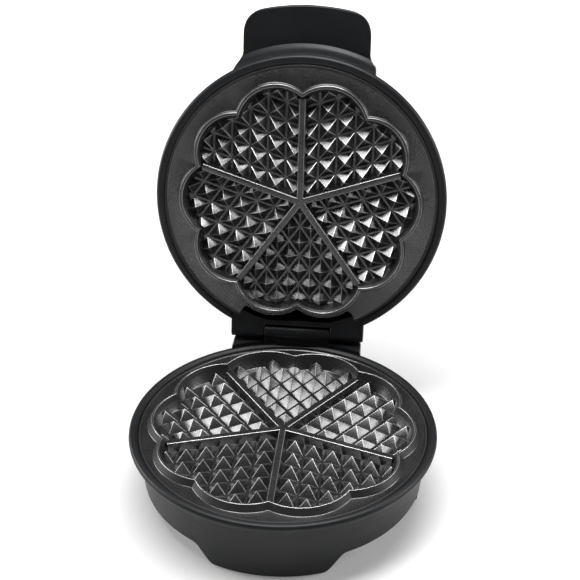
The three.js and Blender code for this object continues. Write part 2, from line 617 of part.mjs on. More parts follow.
function lidFrame() {
  const ring = turned([
    [SEAT_R, PARTING_Z + 0.8], [RIM_R - 4.5, PARTING_Z + 0.3], [RIM_R - 1.4, PARTING_Z + 0.7],
    [RIM_R, LID_RIM_Z], [RIM_R - 0.3, SEAM_Z - GAP], [SPIGOT_R, SEAM_Z - GAP],
    [SPIGOT_R, SEAM_Z + SPIGOT_H], [SPIGOT_R - SPIGOT_T, SEAM_Z + SPIGOT_H],
    [SPIGOT_R - SPIGOT_T, LID_LEDGE_Z + WALL], [LEDGE_R, LID_LEDGE_Z + WALL],
    [LEDGE_R, LID_LEDGE_Z], [SEAT_R, LID_LEDGE_Z],
  ], SKIRT_SEGMENTS);
  const blockRear = HINGE_Y + BARREL_R;
  const roomHalf = BLOCK_HALF - 4;
  const upper = box(-BLOCK_HALF, BLOCK_HALF, BLOCK_FRONT_Y, blockRear, HINGE_Z, BLOCK_TOP);
  const lower = box(-BLOCK_HALF, BLOCK_HALF, BLOCK_FRONT_Y, HINGE_Y, BLOCK_FACE_Z, HINGE_Z + 1);
  const barrel = barX(BARREL_R, -BLOCK_HALF, BLOCK_HALF, HINGE_Y, HINGE_Z);
  const hollow = box(-roomHalf, roomHalf, BLOCK_FRONT_Y + 1.5, blockRear - WALL,
    HINGE_Z + 6.5, BLOCK_TOP + 1);
  const sideRooms = [-1, 1].map((side) => box(
    side > 0 ? KNUCKLE_HALF + 4 : -roomHalf, side > 0 ? roomHalf : -KNUCKLE_HALF - 4,
    BLOCK_FRONT_Y - 6, BLOCK_FRONT_Y + 3.6, BLOCK_FACE_Z + WALL, BLOCK_TOP + 1,
  ));
  const throughLedge = cut(
    box(-BLOCK_HALF, BLOCK_HALF, CUTOUT_Y - 4, FAR, 0, BLOCK_FACE_Z), disc(LEDGE_R - 5.5, 0, FAR, 48),
  );
  const tabs = PLATE_SCREW_ANGLES.map((angle) => plateTab(angle, LID_LEDGE_Z, LID_LEDGE_Z + TAB.t));
  const knuckleRoom = box(-KNUCKLE_HALF - 0.5, KNUCKLE_HALF + 0.5, HINGE_Y - BARREL_R - 1, FAR,
    0, HINGE_Z + BARREL_R + 2);
  const body = union(ring, upper, lower, barrel, ...tabs);
  return cut(body, hollow, ...sideRooms, throughLedge, knuckleRoom, pinBore());
}

// The dome's outside pushed out by a distance, down to a height, as a filled solid.
function filledDome(offset, z0) {
  const outline = DOME.map(([r, z]) => [r > 0 ? r + offset : 0, z + offset]);
  return turned([[0, z0], [outline[0][0], z0], ...outline], SKIRT_SEGMENTS);
}

// Places a piece modelled along +Z from z = 0 on a grip screw's axis, pointing out of the lid.
function onGripScrew(body, side) {
  return body.rotate([90, 0, 0]).translate([0, -GRIP_SCREW.seatR, GRIP_SCREW.z])
    .rotate([0, 0, side * GRIP_SCREW.angle]);
}

function atLens(body, side) {
  return body.translate([side * LENS.x, LENS.y, 0]);
}

function lidCover() {
  const shell = cut(filledDome(0, SEAM_Z), filledDome(-WALL, SEAM_Z - 5));
  const blockRoom = box(-BLOCK_HALF - GAP, BLOCK_HALF + GAP, BLOCK_FRONT_Y - 6, FAR, 0, BLOCK_TOP + GAP);
  const lensHoles = [-1, 1].map((side) => atLens(disc(LENS.r + GAP, LENS_Z - 9.5, FAR, 20), side));
  const { postX, postR, bore } = LAMP_BRACKET;
  const posts = [-1, 1].map((side) => cut(
    disc(postR, LAMP_BRACKET_Z + GAP, LENS_Z - 1.5, 12), disc(bore, LAMP_BRACKET_Z - 1, LENS_Z - 3.5, 12),
  ).translate([side * postX, LENS.y, 0]));
  const seats = [-1, 1].map((side) => onGripScrew(disc(4.2, 0, 12, 12), side)
    .intersect(filledDome(0, SEAM_Z)));
  const gripBores = [-1, 1].map((side) => onGripScrew(disc(SCREW_R + 2 * SCREW_FIT, -8, 12, FINE), side));
  return cut(union(shell, ...posts, ...seats), blockRoom, ...lensHoles, ...gripBores);
}

function gripOutline(inset) {
  const half = GRIP_HALF - inset;
  const corner = GRIP_CORNER - inset;
  const tip = -GRIP_END_Y + inset;
  const cornerY = tip + GRIP_BOW;
  const turnY = cornerY + corner * 2 * GRIP_BOW / (half - corner);
  const { width, from, to } = GRIP_FLARE;
  const shape = new THREE.Shape();
  shape.moveTo(-half - width, -RIM_R + 30);
  shape.lineTo(-half - width, -RIM_R + to);
  shape.lineTo(-half, -RIM_R + from);
  shape.lineTo(-half, turnY + corner);
  shape.quadraticCurveTo(-half, turnY, -half + corner, cornerY);
  shape.quadraticCurveTo(0, 2 * tip - cornerY, half - corner, cornerY);
  shape.quadraticCurveTo(half, turnY, half, turnY + corner);
  shape.lineTo(half, -RIM_R + from);
  shape.lineTo(half + width, -RIM_R + to);
  shape.lineTo(half + width, -RIM_R + 30);
  return shape;
}

// Upper half of the grip: a shallow tray, open below, that starts on the cover's front wall.
function handleTop() {
  const top = GRIP_UNDER_Z + GRIP_T;
  const low = GRIP_UNDER_Z + GRIP_SHELL_T + GAP;
  const outer = slab(gripOutline(0), low, top, 5);
  const hollow = slab(gripOutline(GRIP_SHELL_T), GRIP_UNDER_Z, top - GRIP_SHELL_T, 5);
  const rearWall = cut(
    box(-GRIP_HALF + 1, GRIP_HALF - 1, -RIM_R - 4, -RIM_R + 24, low, top - 1),
    cut(box(-FAR, FAR, -FAR, 0, 0, FAR), filledDome(GAP + 2.6, 0)),
  );
  return cut(union(cut(outer, hollow), rearWall), filledDome(GAP, 0));
}

// Lower half: the flat underside of the grip, with a curved skirt that follows the lid's wall.
function handleUnderside() {
  const floor = slab(gripOutline(0), GRIP_UNDER_Z, GRIP_UNDER_Z + GRIP_SHELL_T, 5);
  const coveH = GRIP_UNDER_Z - SEAM_Z - GAP;
  const skirtBand = turned([
    [0, SEAM_Z + GAP], [RIM_R, SEAM_Z + GAP], [RIM_R + 0.15 * GRIP_COVE, SEAM_Z + 0.5 * coveH],
    [RIM_R + 0.45 * GRIP_COVE, SEAM_Z + 0.8 * coveH], [RIM_R + GRIP_COVE, GRIP_UNDER_Z],
    [RIM_R + GRIP_COVE, GRIP_UNDER_Z + 1], [0, GRIP_UNDER_Z + 1],
  ], SKIRT_SEGMENTS).intersect(slab(gripOutline(0), 0, FAR, 5));
  const bores = [-1, 1].map(
    (side) => onGripScrew(disc(SCREW_R + SCREW_FIT, 0, GRIP_SCREW.length + GAP, FINE), side),
  );
  return cut(union(floor, skirtBand), filledDome(GAP, 0), ...bores);
}

function lens(side) {
  const { r, flange, depth } = LENS;
  const z = LENS_Z;
  return atLens(turned([[0, z - depth], [r, z - depth], [r, z + 1], [flange, z + 1],
    [flange - 1, z + 2], [r - 1.6, z + 2.6], [0, z + 2.8]], 20), side);
}

function lamp(side) {
  return atLens(disc(LAMP_R, LAMP_BRACKET_Z - 1.6, LENS_Z - LENS.depth - GAP, 12), side);
}

function lampBracket() {
  const { half, depth, t } = LAMP_BRACKET;
  const strip = box(-half, half, LENS.y - depth, LENS.y + depth, LAMP_BRACKET_Z - t, LAMP_BRACKET_Z);
  const holes = [-1, 1].map((side) => atLens(disc(LAMP_R + GAP, LAMP_BRACKET_Z - 9, FAR, 12), side));
  return cut(strip, ...holes);
}

// ---- Leads, from each element end to the terminals ----

function lead(points) {
  return pipe(new THREE.CatmullRomCurve3(points.map((p) => new THREE.Vector3(...p))), LEAD_R, 10, 6);
}

const [terminalX, terminalY] = around(ELEMENT_R, 180 - TAIL_ANGLE);
const lowerTip = MARGIN_Z - LOWER.floor - FLOOR_T - GAP - TUBE_R - TAIL - GAP;
const upperTip = PARTING_Z + UPPER.floor + FLOOR_T + GAP + TUBE_R + TAIL + GAP;

function baseLead(side) {
  return lead([
    [side * terminalX, terminalY, lowerTip], [side * terminalX, terminalY, lowerTip - 0.8],
    [side * terminalX, terminalY + 2.5, COVER_TOP + 1.9], [side * 10, TERMINALS.y - 10, COVER_TOP + 1.9],
    [side * 10, TERMINALS.y - GAP, COVER_TOP + 2.4],
  ]);
}

function lidLead(side) {
  const z = upperTip;
  return lead([
    [side * terminalX, terminalY, z], [side * terminalX, terminalY, z + 0.8],
    [side * (terminalX + 1), terminalY + 3, z + 1.6], [side * 24, BLOCK_FRONT_Y - 16, z - 2],
    [side * 34, BLOCK_FRONT_Y + 0.8, HINGE_Z + 9],
  ]);
}

// ---- Assembly ----

const base = new THREE.Group();
const lowerStack = heatingStack('lower', LOWER);
lowerStack.position.z = MARGIN_Z;
base.add(lowerStack);
base.add(piece('base_housing', baseHousing(), satinBlack));
base.add(piece('bottom_cover', bottomCover(), satinBlack));
base.add(piece('rear_cover', rearCover(), satinBlack));
base.add(piece('cord_gland', cordGland(), rubber));
base.add(piece('terminal_block', terminalBlock(), ceramic));
base.add(piece('hinge_pin', barX(PIN_R, -BLOCK_HALF + 0.5, BLOCK_HALF - 0.5, HINGE_Y, HINGE_Z), steel));
FEET.forEach((foot) => base.add(piece(`foot_pad_${foot.name}`, footPad(foot), rubber)));
BOTTOM_SCREW_ANGLES.forEach((angle, i) => {
  const body = at(screw(COVER_TOP - WALL - HEAD_GAP, 10), BOTTOM_SCREW_R, angle);
  base.add(piece(`bottom_cover_screw_${i + 1}`, body, steel));
});
PLATE_SCREW_ANGLES.forEach((angle, i) => {
  const body = at(screw(LEDGE_Z - TAB.t - HEAD_GAP, PLATE_SCREW_L), PLATE_SCREW_R, angle);
  base.add(piece(`lower_plate_screw_${i + 1}`, body, steel));
});
[['left', -1], ['right', 1]].forEach(([name, side]) => {
  const body = screw(0, 9).rotate([90, 0, 0]);
  const placed = body.translate([side * TOWER_SCREW.x, TOWER_Y - GAP + HEAD_GAP, TOWER_SCREW.z]);
  base.add(piece(`rear_cover_screw_${name}`, placed, steel));
});
const underPlate = MARGIN_Z - LOWER.floor - FLOOR_T - GAP;
const thermostat = disc(THERMOSTAT.r, underPlate - THERMOSTAT.h, underPlate);
base.add(piece('thermostat', thermostat.translate([0, THERMOSTAT.y, 0]), ceramic));
const fuse = barX(FUSE.r, -FUSE.half, FUSE.half, FUSE.y, underPlate - FUSE.r, 12);
base.add(piece('thermal_fuse', fuse, steel));
base.add(piece('base_lead_live', baseLead(1), sleeve));
base.add(piece('base_lead_neutral', baseLead(-1), sleeve));

const lid = new THREE.Group();
const upperStack = heatingStack('upper', UPPER);
upperStack.rotation.y = Math.PI;
upperStack.position.z = PARTING_Z;
lid.add(upperStack);
lid.add(piece('lid_frame', lidFrame(), satinBlack));
lid.add(piece('lid_cover', lidCover(), satinBlack));
lid.add(piece('handle_top', handleTop(), satinBlack));
lid.add(piece('handle_underside', handleUnderside(), satinBlack));
PLATE_SCREW_ANGLES.forEach((angle, i) => {
  const turnedOver = screw(0, PLATE_SCREW_L).rotate([180, 0, 0]);
  const body = turnedOver.translate([0, 0, LID_LEDGE_Z + TAB.t + HEAD_GAP]);
  lid.add(piece(`upper_plate_screw_${i + 1}`, at(body, PLATE_SCREW_R, angle), steel));
});
const gripSides = [['left', -1, 'red', redLens], ['right', 1, 'green', greenLens]];
gripSides.forEach(([name, side, colour, glass]) => {
  const grip = onGripScrew(screw(0, GRIP_SCREW.length).translate([0, 0, -HEAD_GAP]), side);
  lid.add(piece(`handle_screw_${name}`, grip, steel));
  lid.add(piece(`lens_${colour}`, lens(side), glass));
  lid.add(piece(`lamp_${colour}`, lamp(side), ceramic));
});
lid.add(piece('lamp_bracket', lampBracket(), steel));
lid.add(piece('lid_lead_live', lidLead(1), sleeve));
lid.add(piece('lid_lead_neutral', lidLead(-1), sleeve));

lid.position.set(0, -HINGE_Y, -HINGE_Z);
const hinge = new THREE.Group();
hinge.add(lid);
hinge.position.set(0, HINGE_Y, HINGE_Z);
hinge.rotation.x = -OPEN_ANGLE * RAD;

const wafflemaker = new THREE.Group();
wafflemaker.add(base, hinge);

// The part's origin is the middle of its bounding box, on the table.
const bounds = new THREE.Box3().setFromObject(wafflemaker, true);
wafflemaker.position.y = -(bounds.min.y + bounds.max.y) / 2;

export default wafflemaker;
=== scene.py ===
import json
import math

import bmesh
import bpy
from mathutils import Matrix, Vector


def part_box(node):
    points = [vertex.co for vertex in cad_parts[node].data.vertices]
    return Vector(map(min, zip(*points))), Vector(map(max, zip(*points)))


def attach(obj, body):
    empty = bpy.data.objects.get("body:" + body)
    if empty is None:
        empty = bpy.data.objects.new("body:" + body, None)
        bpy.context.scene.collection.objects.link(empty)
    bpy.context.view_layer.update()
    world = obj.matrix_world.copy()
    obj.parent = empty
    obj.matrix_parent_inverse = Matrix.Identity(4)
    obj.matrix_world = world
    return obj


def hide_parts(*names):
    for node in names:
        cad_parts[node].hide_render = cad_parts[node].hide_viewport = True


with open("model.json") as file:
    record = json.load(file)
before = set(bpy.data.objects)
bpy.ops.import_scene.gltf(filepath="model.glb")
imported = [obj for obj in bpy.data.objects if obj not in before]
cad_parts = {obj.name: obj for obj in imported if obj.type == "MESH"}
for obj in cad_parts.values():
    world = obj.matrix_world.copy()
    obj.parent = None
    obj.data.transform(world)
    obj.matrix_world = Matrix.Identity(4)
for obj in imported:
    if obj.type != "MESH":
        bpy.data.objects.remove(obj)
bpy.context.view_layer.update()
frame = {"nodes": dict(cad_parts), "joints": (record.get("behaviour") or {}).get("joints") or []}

# ---- Shared frame ----
# Shapes are made in millimetres about the base's own axis, with the lid closed, and then carried
# into the frame's metres: the lid's pieces by way of the opened hinge.

MM = 0.001
plate_low, plate_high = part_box("lower_plate")
AXIS_Y = (plate_low.y + plate_high.y) / 2
hinge = frame["joints"][0]
HINGE_Y = (hinge["pos_m"][1] - AXIS_Y) / MM
HINGE_Z = hinge["pos_m"][2] / MM
OPEN_ANGLE = math.radians(hinge["range_deg"][1])

TO_BASE = Matrix.Translation((0, AXIS_Y, 0)) @ Matrix.Scale(MM, 4)
HINGE_AT = Matrix.Translation((0, HINGE_Y, HINGE_Z))
TO_LID = TO_BASE @ HINGE_AT @ Matrix.Rotation(-OPEN_ANGLE, 4, "X") @ HINGE_AT.inverted()

# ---- Sizes, millimetres ----

GAP = 0.3
WALL = 2.5
RIM_R = 110

# Base: its skirt narrows from the rim to three feet, with arches between them. Each foot has the
# angle of its middle and half its width, in degrees from the front.
SEAT_R = 103.4
LEDGE_R = 99.5
SKIRT_FOOT_R = 98.4
SKIRT_TOP_R = 103.9
SKIRT_TOP_Z = 45.2
RIM_LOW_Z = 49.6
RIM_WIDE_Z = 52.2
RIM_TOP_Z = 54.2
SEAT_EDGE_Z = 52.6
PAD_T = 1.2
ARCH_H = 16
FEET = {"front": (0, 22), "right": (120, 35), "left": (-120, 35)}
FOOT_FLARE = 9
FLANGE_IN = 83.9
FLANGE_T = 2.4
FLANGE_SHORT = 2
PAD_SHORT = 3
COVER_TOP = 19
VENT_HALF = 18
VENT_PITCH = 10
BEAD_R = (52, 55)
BOTTOM_SCREW_R = 90

# Plates: ridge is measured up from the flat margin, floor and rib down from it. The clefts lie dip
# inside the lobes, and the first pyramid lies grid pitches along both ribs. The rest are radii.
MARGIN_Z = 51.6
PARTING_Z = 56.4
PLATE_R = 103
PLATE_T = 3
LIP_H = 0.5
LIP_W = 1.6
FLOOR_T = 3.2
HEARTS = 5
LOBES = 10
RIB_TOP = 2.25
RIB_FOOT = 4.25
PITCH = 14.3
PYRAMID_BASE = 12.6
PYRAMID_H = 6.4
PAST_WALL = 3
LOWER = dict(ridge=4.5, floor=7.1, rib=0.5, dip=7.3, grid=0.75,
             foot=98, crest_out=94.6, crest_in=93.4, floor_r=88.6)
UPPER = dict(ridge=2.4, floor=9.2, rib=0.7, dip=9.4, grid=0.4,
             foot=92.7, crest_out=91.6, crest_in=89.4, floor_r=85.4)

# Hinge: the base's tower and knuckle, the lid's block and barrels, and one pin.
BARREL_R = 5.7
PIN_R = 2
PIN_FIT = 0.08
PIN_HOLE_HALF = 60
KNUCKLE_HALF = 26
KNUCKLE_FOOT_Z = 50
KNUCKLE_ROOM_TOP = 73.2
BLOCK_HALF = 52
BLOCK_FRONT_Y = 96
BLOCK_FACE_Z = 60
BLOCK_TOP = 77.5
BLOCK_WALL = 4
TOWER_HALF = 50.5
TOWER_FRONT_Y = 88
TOWER_Y = 114
TOWER_TOP = 57.6
TOWER_FOOT_Z = 20
BEHIND_Y = 130

# Lid
CUTOUT_HALF = 44.5
CUTOUT_Y = 84
SEAM_Z = 64
SPIGOT_R = 105.6
DOME_TOP = 96.2
LENS_X = 11
LENS_Y = -58
LENS_Z = 94.5
LENS_R = 4.2
LENS_HOLE_R = 4.5

# Grip
GRIP_HALF = 47.5
GRIP_END_Y = 142.7
GRIP_UNDER_Z = 81
GRIP_T = 9.5
GRIP_CORNER = 16
GRIP_BOW = 3
GRIP_COVE = 5.5
GRIP_SHELL_T = 2.2
GRIP_FLARE = 5
GRIP_ROOT_Y = -60
FLARE_WIDE_Y = -97
FLARE_END_Y = -109

# Rear panel, cord gland and screws
PANEL_HALF = 47.3
PANEL_Z = (22.8, 54.4)
PANEL_SCREW = (38, 39)
PANEL_ROOM_Y = 90
GROOVE_IN = 3.5
GROOVE_OUT = 4.3
GLAND_Z = 31
GLAND_BORE = 3.6
GLAND_NECK = 5.6
GLAND_FLANGE = 8.6
HEAD_R = 3.2
HEAD_H = 2.2
SHANK_R = 1.6
BOTTOM_SCREW_L = 9.9
REAR_SCREW_L = 8.9

# ---- Mesh tools ----


def made(name, bm, matrix=None):
    """A mesh object from a bmesh, with its faces turned outward."""
    bmesh.ops.recalc_face_normals(bm, faces=bm.faces)
    mesh = bpy.data.meshes.new(name)
    bm.to_mesh(mesh)
    bm.free()
    if matrix:
        mesh.transform(matrix)
    obj = bpy.data.objects.new(name, mesh)
    bpy.context.scene.collection.objects.link(obj)
    return obj


def rounded(points, steps=4):
    """A closed outline whose corners are arcs. Each point is x, y, corner radius, mark."""
    out = []
    for i, (x, y, radius, mark) in enumerate(points):
        here = Vector((x, y))
        to_last = Vector(points[i - 1][:2]) - here
        to_next = Vector(points[(i + 1) % len(points)][:2]) - here
        if radius <= 0:
            out.append((x, y, mark))
            continue
        a, b = to_last.normalized(), to_next.normalized()
        half = math.acos(max(-1, min(1, a.dot(b)))) / 2
        reach = min(radius / math.tan(half), to_last.length * 0.48, to_next.length * 0.48)
        arc_r = reach * math.tan(half)
        centre = here + (a + b).normalized() * (arc_r / math.sin(half))
        start, end = here + a * reach - centre, here + b * reach - centre
        first = math.atan2(start.y, start.x)
        sweep = (math.atan2(end.y, end.x) - first + math.pi) % (2 * math.pi) - math.pi
        for k in range(steps + 1):
            angle = first + sweep * k / steps
            out.append((centre.x + arc_r * math.cos(angle), centre.y + arc_r * math.sin(angle), mark))
    return out


def around(r, angle):
    """A point on a circle, the angle in degrees from the front, anticlockwise from above."""
    turn = math.radians(angle)
    return r * math.sin(turn), -r * math.cos(turn)


def turned(name, profile, segments=64, warp=None, matrix=None):
    """Solid of revolution about Z. A profile that starts at r = 0 is solid, any other is a ring."""
    bm = bmesh.new()
    rings = []
    for r, z, mark in profile:
        if r < 1e-6:
            rings.append([bm.verts.new((0, 0, z))])
            continue
        ring = []
        for i in range(segments):
            angle = 360 * i / segments
            at_r, at_z = warp(r, z, mark, angle) if warp else (r, z)
            ring.append(bm.verts.new((*around(at_r, angle), at_z)))
        rings.append(ring)
    hollow = len(rings[0]) > 1
    pairs = list(zip(rings, rings[1:])) + ([(rings[-1], rings[0])] if hollow else [])
    for low, high in pairs:
        for i in range(segments):
            j = (i + 1) % segments
            if len(low) == 1 and len(high) == 1:
                continue
            if len(low) == 1:
                bm.faces.new((low[0], high[j], high[i]))
            elif len(high) == 1:
                bm.faces.new((low[i], low[j], high[0]))
            else:
                bm.faces.new((low[i], low[j], high[j], high[i]))
    return made(name, bm, matrix)


def disc(r, z0, z1, edge=0.0, segments=48, matrix=None):
    """A round plate from z0 to z1 with rounded rims."""
    profile = rounded([(0, z0, 0, 0), (r, z0, edge, 0), (r, z1, edge, 0), (0, z1, 0, 0)], 3)
    return turned("disc", profile, segments, matrix=matrix)


def panel(x0, x1, y0, y1, corner):
    """Rectangle with round corners, as a function of how far it is drawn in."""
    def outline(inset):
        r = max(corner - inset, 0.01)
        points = []
        for cx, cy, start in ((x1, y0, -90), (x1, y1, 0), (x0, y1, 90), (x0, y0, 180)):
            mid_x = cx - math.copysign(inset + r, cx - (x0 + x1) / 2)
            mid_y = cy - math.copysign(inset + r, cy - (y0 + y1) / 2)
            for k in range(9):
                angle = math.radians(start + 90 * k / 8)
                points.append((mid_x + r * math.cos(angle), mid_y + r * math.sin(angle)))
        return points
    return outline


def sector(r_in, r_out, centre, half):
    """Piece of a flat ring, as a function of how far it is drawn in."""
    def outline(inset):
        steps = 24
        edge = math.degrees(inset / r_out)
        points = []
        for r, way in ((r_out - inset, 1), (r_in + inset, -1)):
            for k in range(steps + 1):
                share = way * (2 * k / steps - 1)
                points.append(around(r, centre + share * (half - edge)))
        return points
    return outline


def slab(outline, z0, z1, low=0.0, high=0.0, steps=3, matrix=None):
    """A flat outline raised from z0 to z1, its lower and upper edges rounded."""
    levels = []
    for k in range(steps + 1 if low else 1):
        turn = math.pi / 2 * k / steps
        levels.append((low * (1 - math.sin(turn)), z0 + low * (1 - math.cos(turn))))
    for k in range(steps + 1 if high else 1):
        turn = math.pi / 2 * (1 - k / steps)
        levels.append((high * (1 - math.sin(turn)), z1 - high * (1 - math.cos(turn))))
    bm = bmesh.new()
    rings = [[bm.verts.new((x, y, z)) for x, y in outline(inset)] for inset, z in levels]
    count = len(rings[0])
    for a, b in zip(rings, rings[1:]):
        for i in range(count):
            j = (i + 1) % count
            bm.faces.new((a[i], a[j], b[j], b[i]))
    bm.faces.new(rings[0][::-1])
    bm.faces.new(rings[-1])
    return made("slab", bm, matrix)


def block(x0, x1, y0, y1, z0, z1, edge=0.0):
    """A box with rounded edges."""
    return slab(panel(x0, x1, y0, y1, max(edge, 0.01)), z0, z1, edge, edge)


def along_x(x0, y, z):
    """Places a piece modelled up Z along X."""
    return Matrix.Translation((x0, y, z)) @ Matrix.Rotation(math.radians(90), 4, "Y")


def along_y(x, y, z):
    """Places a piece modelled up Z along -Y."""
    return Matrix.Translation((x, y, z)) @ Matrix.Rotation(math.radians(90), 4, "X")


def bar(r, x0, x1, y, z, edge=0.0):
    """A round bar along X."""
    return disc(r, 0, x1 - x0, edge, 64, along_x(x0, y, z))


def combine(target, operation, *tools):
    """Adds, cuts or keeps the overlap of closed solids, in order."""
    for tool in tools:
        step = target.modifiers.new("join", "BOOLEAN")
        step.operation = operation
        step.solver = "MANIFOLD"
        step.object = tool
        graph = bpy.context.evaluated_depsgraph_get()
        mesh = bpy.data.meshes.new_from_object(target.evaluated_get(graph))
        target.modifiers.clear()
        target.data = mesh
        bpy.data.objects.remove(tool)
    return target


def add(target, *tools):
    """Joins closed solids to the target."""
    return combine(target, "UNION", *tools)


def cut(target, *tools):
    """Takes closed solids out of the target."""
    return combine(target, "DIFFERENCE", *tools)


def piece(name, obj, body, material, nodes, matrix=None, sharp=32):
    """Names a made object, gives it its finish and place, and lets it stand for CAD nodes."""
    obj.name = name
    obj.data.name = name
    if matrix:
        obj.data.transform(matrix)
    obj.data.materials.clear()
    obj.data.materials.append(material)
    obj.data.shade_smooth()
    obj.data.set_sharp_from_angle(angle=math.radians(sharp))
    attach(obj, body)
    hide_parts(*nodes)
    return obj


# ---- Materials ----


class Nodes:
    """A new node material with its shader and short ways to add textures."""

    def __init__(self, name):
        self.material = bpy.data.materials.new(name)
        self.material.use_nodes = True
        self.tree = self.material.node_tree
        self.shader = self.tree.nodes["Principled BSDF"]
        self.place = self.new("ShaderNodeTexCoord").outputs["Object"]

    def new(self, kind, **values):
        node = self.tree.nodes.new(kind)
        for key, value in values.items():
            if hasattr(node, key):
                setattr(node, key, value)
            else:
                node.inputs[key].default_value = value
        return node

    def link(self, start, end):
        self.tree.links.new(start, end)

    def noise(self, scale, detail=3.0, rough=0.55, stretch=None):
        node = self.new("ShaderNodeTexNoise")
        node.inputs["Scale"].default_value = scale
        node.inputs["Detail"].default_value = detail
        node.inputs["Roughness"].default_value = rough
        source = self.place
        if stretch:
            mapping = self.new("ShaderNodeMapping")
            mapping.inputs["Scale"].default_value = stretch
            self.link(source, mapping.inputs["Vector"])
            source = mapping.outputs["Vector"]
        self.link(source, node.inputs["Vector"])
        return node.outputs["Fac"]

    def ranged(self, source, low, high, to_low, to_high):
        node = self.new("ShaderNodeMapRange")
        for i, value in enumerate((low, high, to_low, to_high), 1):
            node.inputs[i].default_value = value
        self.link(source, node.inputs[0])
        return node.outputs[0]

    def math(self, operation, a, b):
        node = self.new("ShaderNodeMath")
        node.operation = operation
        for i, value in enumerate((a, b)):
            if isinstance(value, (int, float)):
                node.inputs[i].default_value = value
            else:
                self.link(value, node.inputs[i])
        return node.outputs[0]

    def mix(self, share, low, high):
        node = self.new("ShaderNodeMix")
        node.data_type = "RGBA"
        for end, value in (("A", low), ("B", high)):
            socket = next(s for s in node.inputs if s.name == end and s.type == "RGBA")
            if isinstance(value, tuple):
                socket.default_value = (*value, 1)
            else:
                self.link(value, socket)
        self.link(share, node.inputs[0])
        return next(s for s in node.outputs if s.type == "RGBA")

    def edges(self, radius, samples=4):
        """How much the surface turns within a short distance: 0 on flats, towards 1 on edges."""
        bevel = self.new("ShaderNodeBevel")
        bevel.samples = samples
        bevel.inputs["Radius"].default_value = radius
        geometry = self.new("ShaderNodeNewGeometry")
        dot = self.new("ShaderNodeVectorMath")
        dot.operation = "DOT_PRODUCT"
        self.link(bevel.outputs["Normal"], dot.inputs[0])
        self.link(geometry.outputs["Normal"], dot.inputs[1])
        return self.ranged(dot.outputs["Value"], 0.99, 0.80, 0.0, 1.0)

    def bump(self, height, strength, distance):
        node = self.new("ShaderNodeBump")
        node.inputs["Strength"].default_value = strength
        node.inputs["Distance"].default_value = distance
        self.link(height, node.inputs["Height"])
        self.link(node.outputs["Normal"], self.shader.inputs["Normal"])


def moulded_plastic(name, dark, light, gloss, grain=0.05):
    """Near-black moulded plastic: fine grain, cloudy tone, faint wipe marks, and lighter edges that are
    partly rubbed wear and partly a painted highlight.
    """
    m = Nodes(name)
    cloud = m.noise(22, 4)
    speck = m.noise(2400, 2)
    tone = m.mix(m.ranged(cloud, 0.3, 0.7, 0, 1), dark, light)
    # Painted highlight: edges found by the bevel test get a lighter colour, partly rubbed wear and partly
    # standing in for light caught on rounded edges.
    edge_wear_and_highlight = m.math("MULTIPLY", m.edges(0.0009), m.ranged(m.noise(240, 3), 0.35, 0.7, 0.15, 0.8))
    rubbed_highlight_colour = tuple(min(1, c * 2.6 + 0.012) for c in light)
    m.link(m.mix(edge_wear_and_highlight, tone, rubbed_highlight_colour), m.shader.inputs["Base Color"])
    wiped = m.noise(30, 5, 0.7, (1, 1, 9))
    rough = m.math("ADD", m.ranged(wiped, 0.3, 0.7, gloss - 0.04, gloss + 0.06),
                   m.ranged(speck, 0.3, 0.7, -0.03, 0.03))
    m.link(rough, m.shader.inputs["Roughness"])
    m.shader.inputs["Specular IOR Level"].default_value = 0.26
    m.bump(speck, grain, 0.0002)
    return m.material


def non_stick(name, dark, light, metallic=0.0, rough=0.28, shine=1.0):
    """Coating over cast aluminium: orange peel, fine specks and cloudy wiping."""
    m = Nodes(name)
    cloud = m.noise(35, 4)
    peel = m.noise(950, 3)
    tone = m.mix(m.ranged(cloud, 0.3, 0.7, 0, 1), dark, light)
    flecks = m.ranged(m.noise(3800, 1), 0.68, 0.76, 0, 0.3)
    m.link(m.mix(flecks, tone, tuple(c * 3 + 0.03 for c in light)), m.shader.inputs["Base Color"])
    m.shader.inputs["Metallic"].default_value = metallic
    sheen = m.math("ADD", m.ranged(cloud, 0.3, 0.7, rough - 0.04, rough + 0.04),
                   m.ranged(peel, 0.3, 0.7, -0.03, 0.05))
    m.link(sheen, m.shader.inputs["Roughness"])
    m.shader.inputs["Specular IOR Level"].default_value = shine
    m.bump(peel, 0.10, 0.0004)
    return m.material


def metal(name, colour, rough, stretch=(1, 1, 1)):
    """Bare metal with slight tarnish, and drawing lines where the noise is stretched."""
    m = Nodes(name)
    m.shader.inputs["Metallic"].default_value = 1
    lines = m.noise(900, 3, 0.6, stretch)
    dull = tuple(c * 0.72 for c in colour)
    m.link(m.mix(m.ranged(m.noise(60, 4), 0.3, 0.75, 0, 1), colour, dull), m.shader.inputs["Base Color"])
    m.link(m.ranged(lines, 0.3, 0.7, rough - 0.06, rough + 0.10), m.shader.inputs["Roughness"])
    m.bump(lines, 0.06, 0.0002)
    return m.material


def soft(name, dark, light, rough):
    """Rubber, silicone and plain mouldings: a cloudy tone under a fine skin."""
    m = Nodes(name)
    skin = m.noise(1600, 4)
    m.link(m.mix(m.ranged(m.noise(70, 5), 0.35, 0.75, 0, 1), dark, light), m.shader.inputs["Base Color"])
    m.link(m.ranged(skin, 0.3, 0.7, rough - 0.08, rough + 0.06), m.shader.inputs["Roughness"])
    m.bump(skin, 0.15, 0.0003)
    return m.material


def lens_plastic(name, colour):
    """Tinted plastic that lets some light through, slightly cloudy."""
    m = Nodes(name)
    swirl = m.noise(500, 3)
    deep = tuple(c * 0.5 for c in colour)
    m.link(m.mix(m.ranged(swirl, 0.3, 0.7, 0, 1), colour, deep), m.shader.inputs["Base Color"])
    m.link(m.ranged(swirl, 0.3, 0.7, 0.08, 0.2), m.shader.inputs["Roughness"])
    m.shader.inputs["Transmission Weight"].default_value = 0.6
    m.shader.inputs["IOR"].default_value = 1.5
    m.bump(swirl, 0.08, 0.0003)
    return m.material


